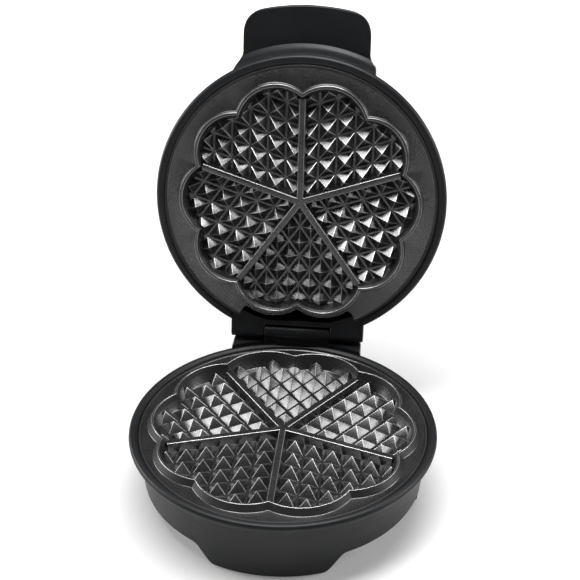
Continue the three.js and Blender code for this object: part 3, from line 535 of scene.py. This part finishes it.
HOUSING = moulded_plastic("housing_satin", (0.0038, 0.0044, 0.0053), (0.0064, 0.0072, 0.0086), 0.44)
COVER = moulded_plastic("cover_satin", (0.0038, 0.0044, 0.0053), (0.0064, 0.0072, 0.0086), 0.36)
UNDERSIDE = moulded_plastic("bottom_matt", (0.016, 0.016, 0.017), (0.026, 0.026, 0.027), 0.55, 0.12)
COATING = non_stick("non_stick", (0.0035, 0.0035, 0.0037), (0.007, 0.007, 0.0073))
FLANK = non_stick("sprayed_flank", (0.0035, 0.0035, 0.0037), (0.007, 0.007, 0.0073), 0.0, 0.5, 0.4)
# Lighter metallic finish for the crests: partly rubbed wear, partly a painted highlight standing in for the
# bright edge lines.
WORN_AND_HIGHLIT = non_stick("worn_and_highlit_crests", (0.20, 0.20, 0.205), (0.42, 0.42, 0.43), 0.85, 0.34)
STEEL = metal("zinc_steel", (0.62, 0.62, 0.63), 0.30)
ELEMENT = metal("oxidised_tube", (0.34, 0.31, 0.28), 0.42)
SHEET = metal("bright_sheet", (0.86, 0.87, 0.88), 0.16, (1, 6, 1))
PIN = metal("drawn_bar", (0.58, 0.58, 0.59), 0.26, (0.05, 4, 4))
CAN = metal("drawn_can", (0.74, 0.74, 0.75), 0.28)
PAD_RUBBER = soft("pad_rubber", (0.030, 0.030, 0.031), (0.060, 0.059, 0.057), 0.80)
GLAND_RUBBER = soft("gland_rubber", (0.014, 0.014, 0.014), (0.028, 0.028, 0.028), 0.62)
BROWN = soft("brown_silicone", (0.13, 0.045, 0.02), (0.19, 0.075, 0.035), 0.55)
BLUE = soft("blue_silicone", (0.02, 0.05, 0.20), (0.035, 0.08, 0.28), 0.55)
OFF_WHITE = soft("off_white_moulding", (0.62, 0.59, 0.50), (0.72, 0.69, 0.60), 0.50)
BULB = soft("neon_bulb", (0.62, 0.42, 0.26), (0.75, 0.60, 0.44), 0.20)
RED = lens_plastic("red_lens", (0.62, 0.02, 0.015))
GREEN = lens_plastic("green_lens", (0.02, 0.42, 0.07))

# Each CAD node gets a finish by its name, which shows on those that no piece replaces.
for node_name, node in frame["nodes"].items():
    if "screw" in node_name or node_name.endswith("clamp"):
        finish = STEEL
    elif node_name.endswith("element"):
        finish = ELEMENT
    elif node_name.endswith("reflector"):
        finish = SHEET
    elif node_name.endswith("live"):
        finish = BROWN
    elif node_name.endswith("neutral"):
        finish = BLUE
    elif node_name in ("terminal_block", "lamp_bracket"):
        finish = OFF_WHITE
    elif node_name.startswith("lamp"):
        finish = BULB
    else:
        finish = CAN
    node.data.materials.clear()
    node.data.materials.append(finish)

# ---- Baking plates ----

PLATE_SEGMENTS = 400
# Depth of the lighter band on the ridge and on the ribs, partly rubbed wear and partly a painted highlight,
# and what a dull flank leaves at either end.
CREST_HIGHLIGHT_DEPTH = 0.45
RIB_HIGHLIGHT_DEPTH = 0.7
FLANK_EDGE = 0.3

def flower_dip(angle, lobe_r, dip):
    """How far the ten-lobed outline lies inside its widest radius, at an angle from a cleft."""
    step = 360 / LOBES
    from_lobe = math.radians(abs(angle % step - step / 2))
    half = math.radians(step / 2)
    cleft_r = lobe_r - dip
    a = cleft_r * math.cos(half) - lobe_r
    b = cleft_r * math.sin(half)
    arc_r = -(a * a + b * b) / (2 * a)
    arc_c = lobe_r - arc_r
    reach = arc_c * math.cos(from_lobe) + math.sqrt(arc_r ** 2 - (arc_c * math.sin(from_lobe)) ** 2)
    return lobe_r - reach


def flower(spec):
    """Warp for turned(): points marked 1 follow the ten-lobed outline."""
    def warp(r, z, mark, angle):
        return r - mark * flower_dip(angle, spec["crest_out"], spec["dip"]), z
    return warp


def rib(spec, angle):
    """One rib from the middle outward, tapered upward, at an angle in degrees from the front."""
    low = -spec["floor"] - FLOOR_T / 2
    section = rounded([(-RIB_FOOT, low, 0, 0), (RIB_FOOT, low, 0, 0), (RIB_TOP, -spec["rib"], 0.75, 0),
                       (-RIB_TOP, -spec["rib"], 0.75, 0)], 4)
    length = spec["floor_r"] - spec["dip"] + 2
    bm = bmesh.new()
    ends = [[bm.verts.new((x, y, z)) for x, z, _ in section] for y in (0, -length)]
    for i in range(len(section)):
        j = (i + 1) % len(section)
        bm.faces.new((ends[0][i], ends[0][j], ends[1][j], ends[1][i]))
    bm.faces.new(ends[0])
    bm.faces.new(ends[1])
    return made("rib", bm, Matrix.Rotation(math.radians(angle), 4, "Z"))


def pyramid_mesh(spec):
    """One cast pyramid with softened edges, its foot sunk into the floor of the plate."""
    sunk = FLOOR_T / 2
    grow = (PYRAMID_H + sunk) / PYRAMID_H
    half = math.radians(180 / HEARTS)
    x = PYRAMID_BASE * math.sin(half) * grow
    y = PYRAMID_BASE * math.cos(half) * grow
    low = -spec["floor"] - sunk
    top = low + PYRAMID_H + sunk
    bm = bmesh.new()
    feet = [bm.verts.new(p) for p in ((x, 0, low), (0, y, low), (-x, 0, low), (0, -y, low))]
    peak = bm.verts.new((0, 0, top))
    for i in range(4):
        bm.faces.new((feet[i], feet[(i + 1) % 4], peak))
    bm.faces.new(feet[::-1])
    sloping = [e for e in bm.edges if peak in e.verts]
    bmesh.ops.bevel(bm, geom=sloping + [peak], offset=0.36, segments=2, profile=0.6, affect="EDGES")
    bm.normal_update()
    mesh = bpy.data.meshes.new("pyramid")
    bmesh.ops.recalc_face_normals(bm, faces=bm.faces)
    bm.to_mesh(mesh)
    bm.free()
    return mesh


def pyramids(spec):
    """All hearts' rows of pyramids, on grids that run along the two ribs beside each heart."""
    half = math.radians(180 / HEARTS)
    reach = spec["floor_r"] + PAST_WALL
    rows = math.ceil(reach / PITCH)
    single = pyramid_mesh(spec)
    bm = bmesh.new()
    for k in range(HEARTS):
        to_heart = Matrix.Rotation(math.radians((k + 0.5) * 360 / HEARTS), 4, "Z")
        for i in range(rows):
            for j in range(rows):
                x = (i - j) * PITCH * math.sin(half)
                y = -(i + j + 2 * spec["grid"]) * PITCH * math.cos(half)
                if math.hypot(x, y) < reach:
                    one = single.copy()
                    one.transform(to_heart @ Matrix.Translation((x, y, 0)))
                    bm.from_mesh(one)
                    bpy.data.meshes.remove(one)
    return made("pyramids", bm)


def baking_plate(spec):
    """A whole plate, face up, with its flat margin at z = 0."""
    back = -spec["floor"] - FLOOR_T
    foot, crest_out, crest_in = spec["foot"], spec["crest_out"], spec["crest_in"]
    ridge, floor, floor_r = spec["ridge"], spec["floor"], spec["floor_r"]
    profile = rounded([
        (0, back, 0, 0), (floor_r + FLOOR_T * 0.6, back, 1, 1), (foot - 1, -PLATE_T, 0, 1),
        (PLATE_R, -PLATE_T, 0, 0), (PLATE_R, LIP_H, 0.35, 0), (PLATE_R - LIP_W, LIP_H, 0.35, 0),
        (PLATE_R - 2.2, 0, 0.3, 0), (foot, 0, 0.9, 1), (crest_out, ridge, 0.55, 1),
        (crest_in, ridge, 0.55, 1), (crest_in - 1.6, 0, 2, 1), (floor_r, -floor, 1.2, 1),
        (0, -floor, 0, 0)], 5)
    warp = flower(spec)
    body = turned("plate", profile, PLATE_SEGMENTS, warp)
    inside = turned("inside", [(0, back + 1, 0), (floor_r + 1.2, back + 1, 1), (floor_r + 1.2, 2, 1),
                               (0, 2, 0)], PLATE_SEGMENTS, warp)
    relief = combine(pyramids(spec), "INTERSECT", inside)
    ribs = [rib(spec, k * 360 / HEARTS) for k in range(HEARTS)]
    return add(body, *ribs, relief)


def wear_and_highlight_edges(plate, spec):
    """Gives the rounded crests of ridge, ribs and pyramids a lighter metallic finish, partly rubbed wear and
    partly a painted highlight, and leaves the ridge's flanks dull.
    """
    plate.data.materials.append(WORN_AND_HIGHLIT)
    plate.data.materials.append(FLANK)
    rib_top = -spec["rib"]
    for face in plate.data.polygons:
        z, up = face.center.z, face.normal.z
        on_crest = z > spec["ridge"] - CREST_HIGHLIGHT_DEPTH and 0.3 < up < 0.98
        on_rib = rib_top - RIB_HIGHLIGHT_DEPTH < z < rib_top and 0.5 < up < 0.98
        on_pyramid = -spec["floor"] + RIB_HIGHLIGHT_DEPTH < z < rib_top - RIB_HIGHLIGHT_DEPTH and 0.7 < up < 0.995
        # Crest, rib and pyramid-edge faces take the lighter finish, partly worn and partly painted
        # highlight.
        if on_crest or on_rib or on_pyramid:
            face.material_index = 1
        elif FLANK_EDGE < z < spec["ridge"] - FLANK_EDGE:
            face.material_index = 2


lower = baking_plate(LOWER)
piece("lower_grid", lower, "base", COATING, ["lower_plate"], sharp=24)
wear_and_highlight_edges(lower, LOWER)
lower.data.transform(TO_BASE @ Matrix.Translation((0, 0, MARGIN_Z)))

upper = baking_plate(UPPER)
# The margin's rear is cut away behind the flower, beside the hinge block.
lobe_r = UPPER["foot"] + 1.5
lobes = turned("lobes", [(0, -20, 0), (lobe_r, -20, 1), (lobe_r, 5, 1), (0, 5, 0)],
               PLATE_SEGMENTS, flower(UPPER))
notch = cut(slab(panel(-CUTOUT_HALF, CUTOUT_HALF, CUTOUT_Y, CUTOUT_Y + 60, 8), -10, 4), lobes)
cut(upper, notch)
piece("upper_grid", upper, "lid", COATING, ["upper_plate"], sharp=24)
wear_and_highlight_edges(upper, UPPER)
upper.data.transform(TO_LID @ Matrix.Translation((0, 0, PARTING_Z)) @ Matrix.Rotation(math.pi, 4, "Y"))

# ---- Base housing ----


def smoothstep(value, low, high):
    """0 below low, 1 above high, and a soft rise between."""
    share = min(max((value - low) / (high - low), 0), 1)
    return share * share * (3 - 2 * share)


def skirt_edge(angle):
    """Height of the skirt's lower edge at an angle from the front."""
    lifts = [smoothstep(abs((angle - centre + 540) % 360 - 180), half, half + FOOT_FLARE)
             for centre, half in FEET.values()]
    return PAD_T + (ARCH_H - PAD_T) * min(lifts)


def skirt_warp(r, z, mark, angle):
    """Points marked 1 belong to the lower edge, which rises between the feet."""
    if not mark:
        return r, z
    lift = skirt_edge(angle)
    return r + (SKIRT_TOP_R - SKIRT_FOOT_R) * lift / SKIRT_TOP_Z, z + lift


LEDGE_Z = MARGIN_Z - PLATE_T - GAP
SHELL_SEGMENTS = 360

skirt = turned("skirt", rounded([
    (SKIRT_FOOT_R, 0, 0.8, 1), (SKIRT_TOP_R, SKIRT_TOP_Z, 6, 0), (RIM_R - 0.6, RIM_LOW_Z, 2.2, 0),
    (RIM_R, RIM_WIDE_Z, 2.5, 0), (RIM_R - 1.6, RIM_TOP_Z - 0.2, 2.2, 0), (RIM_R - 4.4, RIM_TOP_Z, 2.2, 0),
    (SEAT_R, SEAT_EDGE_Z, 1, 0),
    (SEAT_R, LEDGE_Z, 0.2, 0), (LEDGE_R, LEDGE_Z, 0.3, 0), (LEDGE_R, LEDGE_Z - WALL, 0.3, 0),
    (SKIRT_TOP_R - WALL, SKIRT_TOP_Z - 3, 1, 0), (SKIRT_FOOT_R - WALL, 0, 0.8, 1)], 6),
    SHELL_SEGMENTS, skirt_warp)
for foot_at, foot_half in FEET.values():
    flange = sector(FLANGE_IN, SKIRT_FOOT_R - 1, foot_at, foot_half - FLANGE_SHORT)
    add(skirt, slab(flange, PAD_T, PAD_T + FLANGE_T, 0.4, 0.4))

tower = slab(panel(-TOWER_HALF, TOWER_HALF, TOWER_FRONT_Y, TOWER_Y, 6), TOWER_FOOT_Z, TOWER_TOP, 1.6, 1.6, 5)
panel_opening = block(-PANEL_HALF - GAP, PANEL_HALF + GAP, PANEL_ROOM_Y, TOWER_Y + 1,
                      PANEL_Z[0] - GAP, PANEL_Z[1] + GAP)
above_skirt = disc(RIM_R - 3, SKIRT_TOP_Z, TOWER_TOP + 20, 0, 180)
inside_skirt = turned("room", [(0, 0, 0), (SKIRT_FOOT_R - 1, 0, 0), (SKIRT_TOP_R - 1, SKIRT_TOP_Z + 0.5, 0),
                               (0, SKIRT_TOP_Z + 0.5, 0)], 180)
cut(tower, panel_opening, above_skirt, inside_skirt)
knuckle = block(-KNUCKLE_HALF, KNUCKLE_HALF, SEAT_R + 0.5, HINGE_Y + BARREL_R, KNUCKLE_FOOT_Z, HINGE_Z, 0.6)
add(knuckle, bar(BARREL_R, -KNUCKLE_HALF, KNUCKLE_HALF, HINGE_Y, HINGE_Z, 0.6))
cut(knuckle, block(-40, 40, TOWER_Y - 9, TOWER_Y + 9, 40, PANEL_Z[1] + GAP))
add(skirt, tower, knuckle)
cut(skirt, bar(PIN_R + PIN_FIT, -PIN_HOLE_HALF, PIN_HOLE_HALF, HINGE_Y, HINGE_Z))
piece("base_shell", skirt, "base", HOUSING, ["base_housing"], TO_BASE)

# ---- Base, below and behind ----

cover_low = COVER_TOP - WALL
cover_r = SKIRT_FOOT_R + (SKIRT_TOP_R - SKIRT_FOOT_R) * cover_low / SKIRT_TOP_Z - WALL - GAP
vented = disc(cover_r, cover_low, COVER_TOP, 0.5, 240)
for k in range(-2, 3):
    vent_y = k * VENT_PITCH
    cut(vented, slab(panel(-VENT_HALF, VENT_HALF, vent_y - 1.5, vent_y + 1.5, 1.4), 10, 30))
bead = rounded([(BEAD_R[0], cover_low - 0.5, 0.4, 0), (BEAD_R[1], cover_low - 0.5, 0.4, 0),
                (BEAD_R[1], cover_low + 0.5, 0, 0), (BEAD_R[0], cover_low + 0.5, 0, 0)], 3)
add(vented, turned("bead", bead, 160))
piece("vented_bottom", vented, "base", UNDERSIDE, ["bottom_cover"], TO_BASE)

for foot_name, (foot_at, foot_half) in FEET.items():
    tread = sector(FLANGE_IN + 2, SKIRT_FOOT_R - 2, foot_at, foot_half - PAD_SHORT)
    pad = slab(tread, 0, PAD_T - GAP, 0.35, 0.2)
    add(pad, disc(2.4, 0.3, 5.2, 0.4, 32, Matrix.Translation((*around(FLANGE_IN + 6, foot_at), 0))))
    piece(f"pad_{foot_name}", pad, "base", PAD_RUBBER, [f"foot_pad_{foot_name}"], TO_BASE)


def panel_line(inset, corner):
    """The rear panel's outline, drawn face up and in by a distance."""
    return panel(-PANEL_HALF + inset, PANEL_HALF - inset, -PANEL_Z[1] + inset, -PANEL_Z[0] - inset, corner)


rear = slab(panel_line(0, 2.2), 0, WALL, 0, 0.7)
groove = cut(slab(panel_line(GROOVE_IN, 2), WALL - 0.4, WALL + 1),
             slab(panel_line(GROOVE_OUT, 1.4), 0, WALL + 2))
cut(rear, groove, disc(GLAND_NECK + GAP, -1, 6, 0, 64, Matrix.Translation((0, -GLAND_Z, 0))))
for side in (-1, 1):
    cut(rear, disc(2.2, -1, 6, 0, 40, Matrix.Translation((side * PANEL_SCREW[0], -PANEL_SCREW[1], 0))))
# Stands the panel up to face the rear.
STOOD = Matrix.Translation((0, TOWER_Y - GAP - WALL, 0)) @ Matrix.Rotation(math.radians(-90), 4, "X")
piece("rear_panel", rear, "base", COVER, ["rear_cover"], TO_BASE @ STOOD)

grommet = turned("grommet", rounded([
    (GLAND_BORE, -3, 0.8, 0), (GLAND_FLANGE - 2, -3, 0.8, 0), (GLAND_FLANGE, -1, 0.6, 0),
    (GLAND_FLANGE, 0, 0.2, 0), (GLAND_NECK, 0, 0, 0), (GLAND_NECK, 6, 0.4, 0), (GLAND_BORE, 6, 0.4, 0)], 4),
    64, matrix=along_y(0, TOWER_Y, GLAND_Z))
piece("grommet", grommet, "base", GLAND_RUBBER, ["cord_gland"], TO_BASE)


def pan_head(length):
    """Pan-head screw with a cross recess, pointing up, the underside of its head at z = 0."""
    body = turned("screw", rounded([
        (0, -HEAD_H, 0, 0), (HEAD_R - 0.9, -HEAD_H, 1.2, 0), (HEAD_R, -1, 0.6, 0), (HEAD_R, 0, 0.15, 0),
        (SHANK_R, 0, 0, 0), (SHANK_R, length - 1.5, 0, 0), (0.5, length, 0, 0), (0, length, 0, 0)], 4), 40)
    for degrees in (0, 90):
        turn = Matrix.Rotation(math.radians(degrees), 4, "Z")
        cut(body, slab(panel(-1.5, 1.5, -0.35, 0.35, 0.1), -3, -1.1, matrix=turn))
    return body


for i, angle in enumerate((0, 120, 240), 1):
    spot = Matrix.Translation((*around(BOTTOM_SCREW_R, angle), cover_low - 0.1))
    piece(f"bottom_screw_{i}", pan_head(BOTTOM_SCREW_L), "base", STEEL,
          [f"bottom_cover_screw_{i}"], TO_BASE @ spot)
for side, name in ((-1, "left"), (1, "right")):
    spot = along_y(side * PANEL_SCREW[0], TOWER_Y - 0.2, PANEL_SCREW[1])
    piece(f"rear_screw_{name}", pan_head(REAR_SCREW_L), "base", STEEL,
          [f"rear_cover_screw_{name}"], TO_BASE @ spot)

pin = bar(PIN_R, -BLOCK_HALF + 0.5, BLOCK_HALF - 0.5, HINGE_Y, HINGE_Z, 0.4)
piece("pivot_pin", pin, "base", PIN, ["hinge_pin"], TO_BASE)

# ---- Lid ----

LID_LEDGE_Z = PARTING_Z + PLATE_T + GAP
ring = turned("ring", rounded([
    (SEAT_R, PARTING_Z + 0.8, 0.6, 0), (RIM_R - 4.5, PARTING_Z + 0.3, 1.5, 0),
    (RIM_R - 1.4, PARTING_Z + 0.7, 1.6, 0), (RIM_R, PARTING_Z + 2.8, 2, 0),
    (RIM_R - 0.3, SEAM_Z - GAP, 0.35, 0), (SPIGOT_R, SEAM_Z - GAP, 0, 0), (SPIGOT_R, SEAM_Z + 3, 0.3, 0),
    (SPIGOT_R - 2, SEAM_Z + 3, 0.3, 0), (SPIGOT_R - 2, LID_LEDGE_Z + WALL, 0.3, 0),
    (LEDGE_R, LID_LEDGE_Z + WALL, 0.3, 0), (LEDGE_R, LID_LEDGE_Z, 0.3, 0),
    (SEAT_R, LID_LEDGE_Z, 0.2, 0)], 5), SHELL_SEGMENTS)
hinge_block = block(-BLOCK_HALF, BLOCK_HALF, BLOCK_FRONT_Y, HINGE_Y + BARREL_R, HINGE_Z, BLOCK_TOP, 1.0)
add(hinge_block, block(-BLOCK_HALF, BLOCK_HALF, BLOCK_FRONT_Y, HINGE_Y, BLOCK_FACE_Z, HINGE_Z + 1.5, 1.0),
    bar(BARREL_R, -BLOCK_HALF, BLOCK_HALF, HINGE_Y, HINGE_Z, 1.0))
add(ring, hinge_block)
block_room = block(-BLOCK_HALF + BLOCK_WALL, BLOCK_HALF - BLOCK_WALL, BLOCK_FRONT_Y + 1.5,
                   HINGE_Y + BARREL_R - WALL, HINGE_Z + 6.5, BLOCK_TOP + 1)
under_block = cut(block(-BLOCK_HALF, BLOCK_HALF, 80, BEHIND_Y, 50, BLOCK_FACE_Z), disc(94, 40, 70, 0, 180))
knuckle_room = block(-KNUCKLE_HALF - 0.5, KNUCKLE_HALF + 0.5, HINGE_Y - BARREL_R - 1, BEHIND_Y,
                     50, KNUCKLE_ROOM_TOP, 0.6)
cut(ring, block_room, under_block, knuckle_room,
    bar(PIN_R + PIN_FIT, -PIN_HOLE_HALF, PIN_HOLE_HALF, HINGE_Y, HINGE_Z))
piece("lid_ring", ring, "lid", HOUSING, ["lid_frame"], TO_LID)

# The dome's outside from its rim to its top: radius, height and how round the corner is.
DOME = [(RIM_R - 0.4, SEAM_Z, 0), (RIM_R - 2.6, SEAM_Z + 10, 30), (RIM_R - 6, SEAM_Z + 18, 14),
        (RIM_R - 14, SEAM_Z + 25.2, 18), (RIM_R - 36, SEAM_Z + 30, 70), (0, DOME_TOP, 0)]


def dome(offset, z0):
    """The dome's outside moved out by a distance, as a filled solid down to a height."""
    outline = [(r + offset if r else 0, z + offset, radius, 0) for r, z, radius in DOME]
    start = [(0, z0, 0, 0), (outline[0][0], z0, 0, 0)]
    return turned("dome", rounded(start + outline, 8), SHELL_SEGMENTS)


shell = cut(dome(0, SEAM_Z), dome(-WALL, SEAM_Z - 5),
            block(-BLOCK_HALF - GAP, BLOCK_HALF + GAP, 90, BEHIND_Y, 50, BLOCK_TOP + GAP, 0.5))
for side in (-1, 1):
    cut(shell, disc(LENS_HOLE_R, 85, 100, 0, 64, Matrix.Translation((side * LENS_X, LENS_Y, 0))))
piece("lid_dome", shell, "lid", COVER, ["lid_cover"], TO_LID)

# ---- Grip and lenses ----


def bowed(start, control, end, steps=16):
    """Points of a quadratic curve, its end left out."""
    shares = [k / steps for k in range(steps)]
    return [tuple((1 - t) ** 2 * a + 2 * t * (1 - t) * b + t * t * c
                  for a, b, c in zip(start, control, end)) for t in shares]


def grip_outline(inset):
    """The grip seen from above: flared at the lid, with large corners and a bowed end."""
    half, corner, tip = GRIP_HALF - inset, GRIP_CORNER - inset, -GRIP_END_Y + inset
    corner_y = tip + GRIP_BOW
    turn_y = corner_y + corner * 2 * GRIP_BOW / (half - corner)
    wide = half + GRIP_FLARE
    flare_start, flare_bend = FLARE_WIDE_Y - 2, FLARE_END_Y + 5
    points = [(-wide, GRIP_ROOT_Y), (-wide, FLARE_WIDE_Y)]
    points += bowed((-wide + 0.6, flare_start), (-half, flare_bend), (-half, FLARE_END_Y), 8)
    points += bowed((-half, turn_y + corner), (-half, turn_y), (-half + corner, corner_y))
    points += bowed((-half + corner, corner_y), (0, 2 * tip - corner_y), (half - corner, corner_y))
    points += bowed((half - corner, corner_y), (half, turn_y), (half, turn_y + corner))
    points += [(half, turn_y + corner)]
    points += bowed((half, FLARE_END_Y), (half, flare_bend), (wide - 0.6, flare_start), 8)
    points += [(wide - 0.6, flare_start), (wide, FLARE_WIDE_Y), (wide, GRIP_ROOT_Y)]
    return points


grip_low = GRIP_UNDER_Z + GRIP_SHELL_T + GAP
tray = slab(grip_outline, grip_low, GRIP_UNDER_Z + GRIP_T, 0.3, 2.6, 6)
inner = panel(-GRIP_HALF + GRIP_SHELL_T, GRIP_HALF - GRIP_SHELL_T, -GRIP_END_Y + 8, FLARE_END_Y - 5,
              GRIP_CORNER - GRIP_SHELL_T)
cut(tray, slab(inner, GRIP_UNDER_Z, GRIP_UNDER_Z + GRIP_T - GRIP_SHELL_T, 0, 0.6), dome(GAP, 60))
piece("grip_top", tray, "lid", COVER, ["handle_top"], TO_LID)

under = slab(grip_outline, GRIP_UNDER_Z, GRIP_UNDER_Z + GRIP_SHELL_T, 1.0, 0.2, 4)
cove_low = SEAM_Z + GAP
cove_h = GRIP_UNDER_Z - SEAM_Z - GAP
band = turned("band", rounded([
    (0, cove_low, 0, 0), (RIM_R, cove_low, 0.4, 0),
    (RIM_R + 0.15 * GRIP_COVE, SEAM_Z + 0.5 * cove_h, 20, 0),
    (RIM_R + 0.45 * GRIP_COVE, SEAM_Z + 0.8 * cove_h, 9, 0), (RIM_R + GRIP_COVE, GRIP_UNDER_Z, 1.2, 0),
    (RIM_R + GRIP_COVE, GRIP_UNDER_Z + 1, 0, 0), (0, GRIP_UNDER_Z + 1, 0, 0)], 6), SHELL_SEGMENTS)
band = combine(band, "INTERSECT", slab(grip_outline, 60, 100))
cut(add(under, band), dome(GAP, 60))
piece("grip_under", under, "lid", COVER, ["handle_underside"], TO_LID)

for side, name, glass in ((-1, "red", RED), (1, "green", GREEN)):
    lens = turned("lens", rounded([
        (0, LENS_Z - 7, 0, 0), (LENS_R, LENS_Z - 7, 0.3, 0), (LENS_R, LENS_Z + 1, 0, 0),
        (LENS_R + 1.2, LENS_Z + 1, 0.2, 0),
        (4.6, LENS_Z + 2.1, 0.6, 0), (2.6, LENS_Z + 2.7, 2, 0), (0, LENS_Z + 2.8, 0, 0)], 4), 64,
        matrix=Matrix.Translation((side * LENS_X, LENS_Y, 0)))
    piece(f"{name}_lens", lens, "lid", glass, [f"lens_{name}"], TO_LID)

# ---- Floor, light and camera, in metres ----

FLOOR_HALF = 9

def area_light(name, place, target, size, power, spread=180):
    """A rectangular light that the camera doesn't see, its spread in degrees."""
    data = bpy.data.lights.new(name, "AREA")
    data.shape = "RECTANGLE"
    data.size, data.size_y = size
    data.energy = power
    data.spread = math.radians(spread)
    obj = bpy.data.objects.new(name, data)
    obj.location = place
    obj.rotation_euler = (Vector(target) - Vector(place)).to_track_quat("-Z", "Y").to_euler()
    obj.visible_camera = False
    bpy.context.scene.collection.objects.link(obj)


floor = slab(panel(-FLOOR_HALF, FLOOR_HALF, -FLOOR_HALF, FLOOR_HALF, 0.5), -0.02, 0)
floor.name = "floor"
ground = Nodes("pale_floor")
pale = ground.mix(ground.noise(3, 2), (0.50, 0.50, 0.50), (0.54, 0.54, 0.54))
ground.link(pale, ground.shader.inputs["Base Color"])
ground.link(ground.ranged(ground.noise(40, 3), 0.3, 0.7, 0.75, 0.9), ground.shader.inputs["Roughness"])
ground.shader.inputs["Emission Color"].default_value = (1, 1, 1, 1)
ground.shader.inputs["Emission Strength"].default_value = 0.18
floor.data.materials.append(ground.material)

middle = Vector((0, AXIS_Y, 0.14))
area_light("overhead", middle + Vector((-0.03, 0.05, 1.25)), middle, (1.3, 0.5), 38)
for name, y in (("back_wash", AXIS_Y + 1.6), ("front_wash", AXIS_Y - 1.9)):
    area_light(name, Vector((0, y, 1.2)), Vector((0, y, 0)), (3.0, 1.2), 45, 60)
area_light("left_softbox", middle + Vector((-1.2, 0.22, 0.38)), middle, (0.7, 0.5), 4.6, 110)
area_light("right_softbox", middle + Vector((1.2, 0.15, 0.50)), middle, (0.6, 0.5), 3.8, 110)

world = bpy.data.worlds.new("studio")
world.use_nodes = True
world.node_tree.nodes["Background"].inputs["Color"].default_value = (1, 1, 1, 1)
world.node_tree.nodes["Background"].inputs["Strength"].default_value = 0.08
bpy.context.scene.world = world
bpy.context.scene.view_settings.view_transform = "Standard"

CAMERA_FROM_AXIS = Vector((0.06972, -0.66164, 0.54566))
FORWARD = Vector((-0.08500, 0.86348, -0.49717)).normalized()
UP = Vector((-0.05318, 0.49433, 0.86764))
RIGHT = FORWARD.cross(UP).normalized()
camera_data = bpy.data.cameras.new("camera")
camera_data.sensor_width = 36
camera_data.lens = 71.32
camera = bpy.data.objects.new("camera", camera_data)
facing = Matrix((RIGHT, RIGHT.cross(FORWARD), -FORWARD)).transposed()
camera.matrix_world = Matrix.Translation(CAMERA_FROM_AXIS + Vector((0, AXIS_Y, 0))) @ facing.to_4x4()
bpy.context.scene.collection.objects.link(camera)
bpy.context.scene.camera = camera
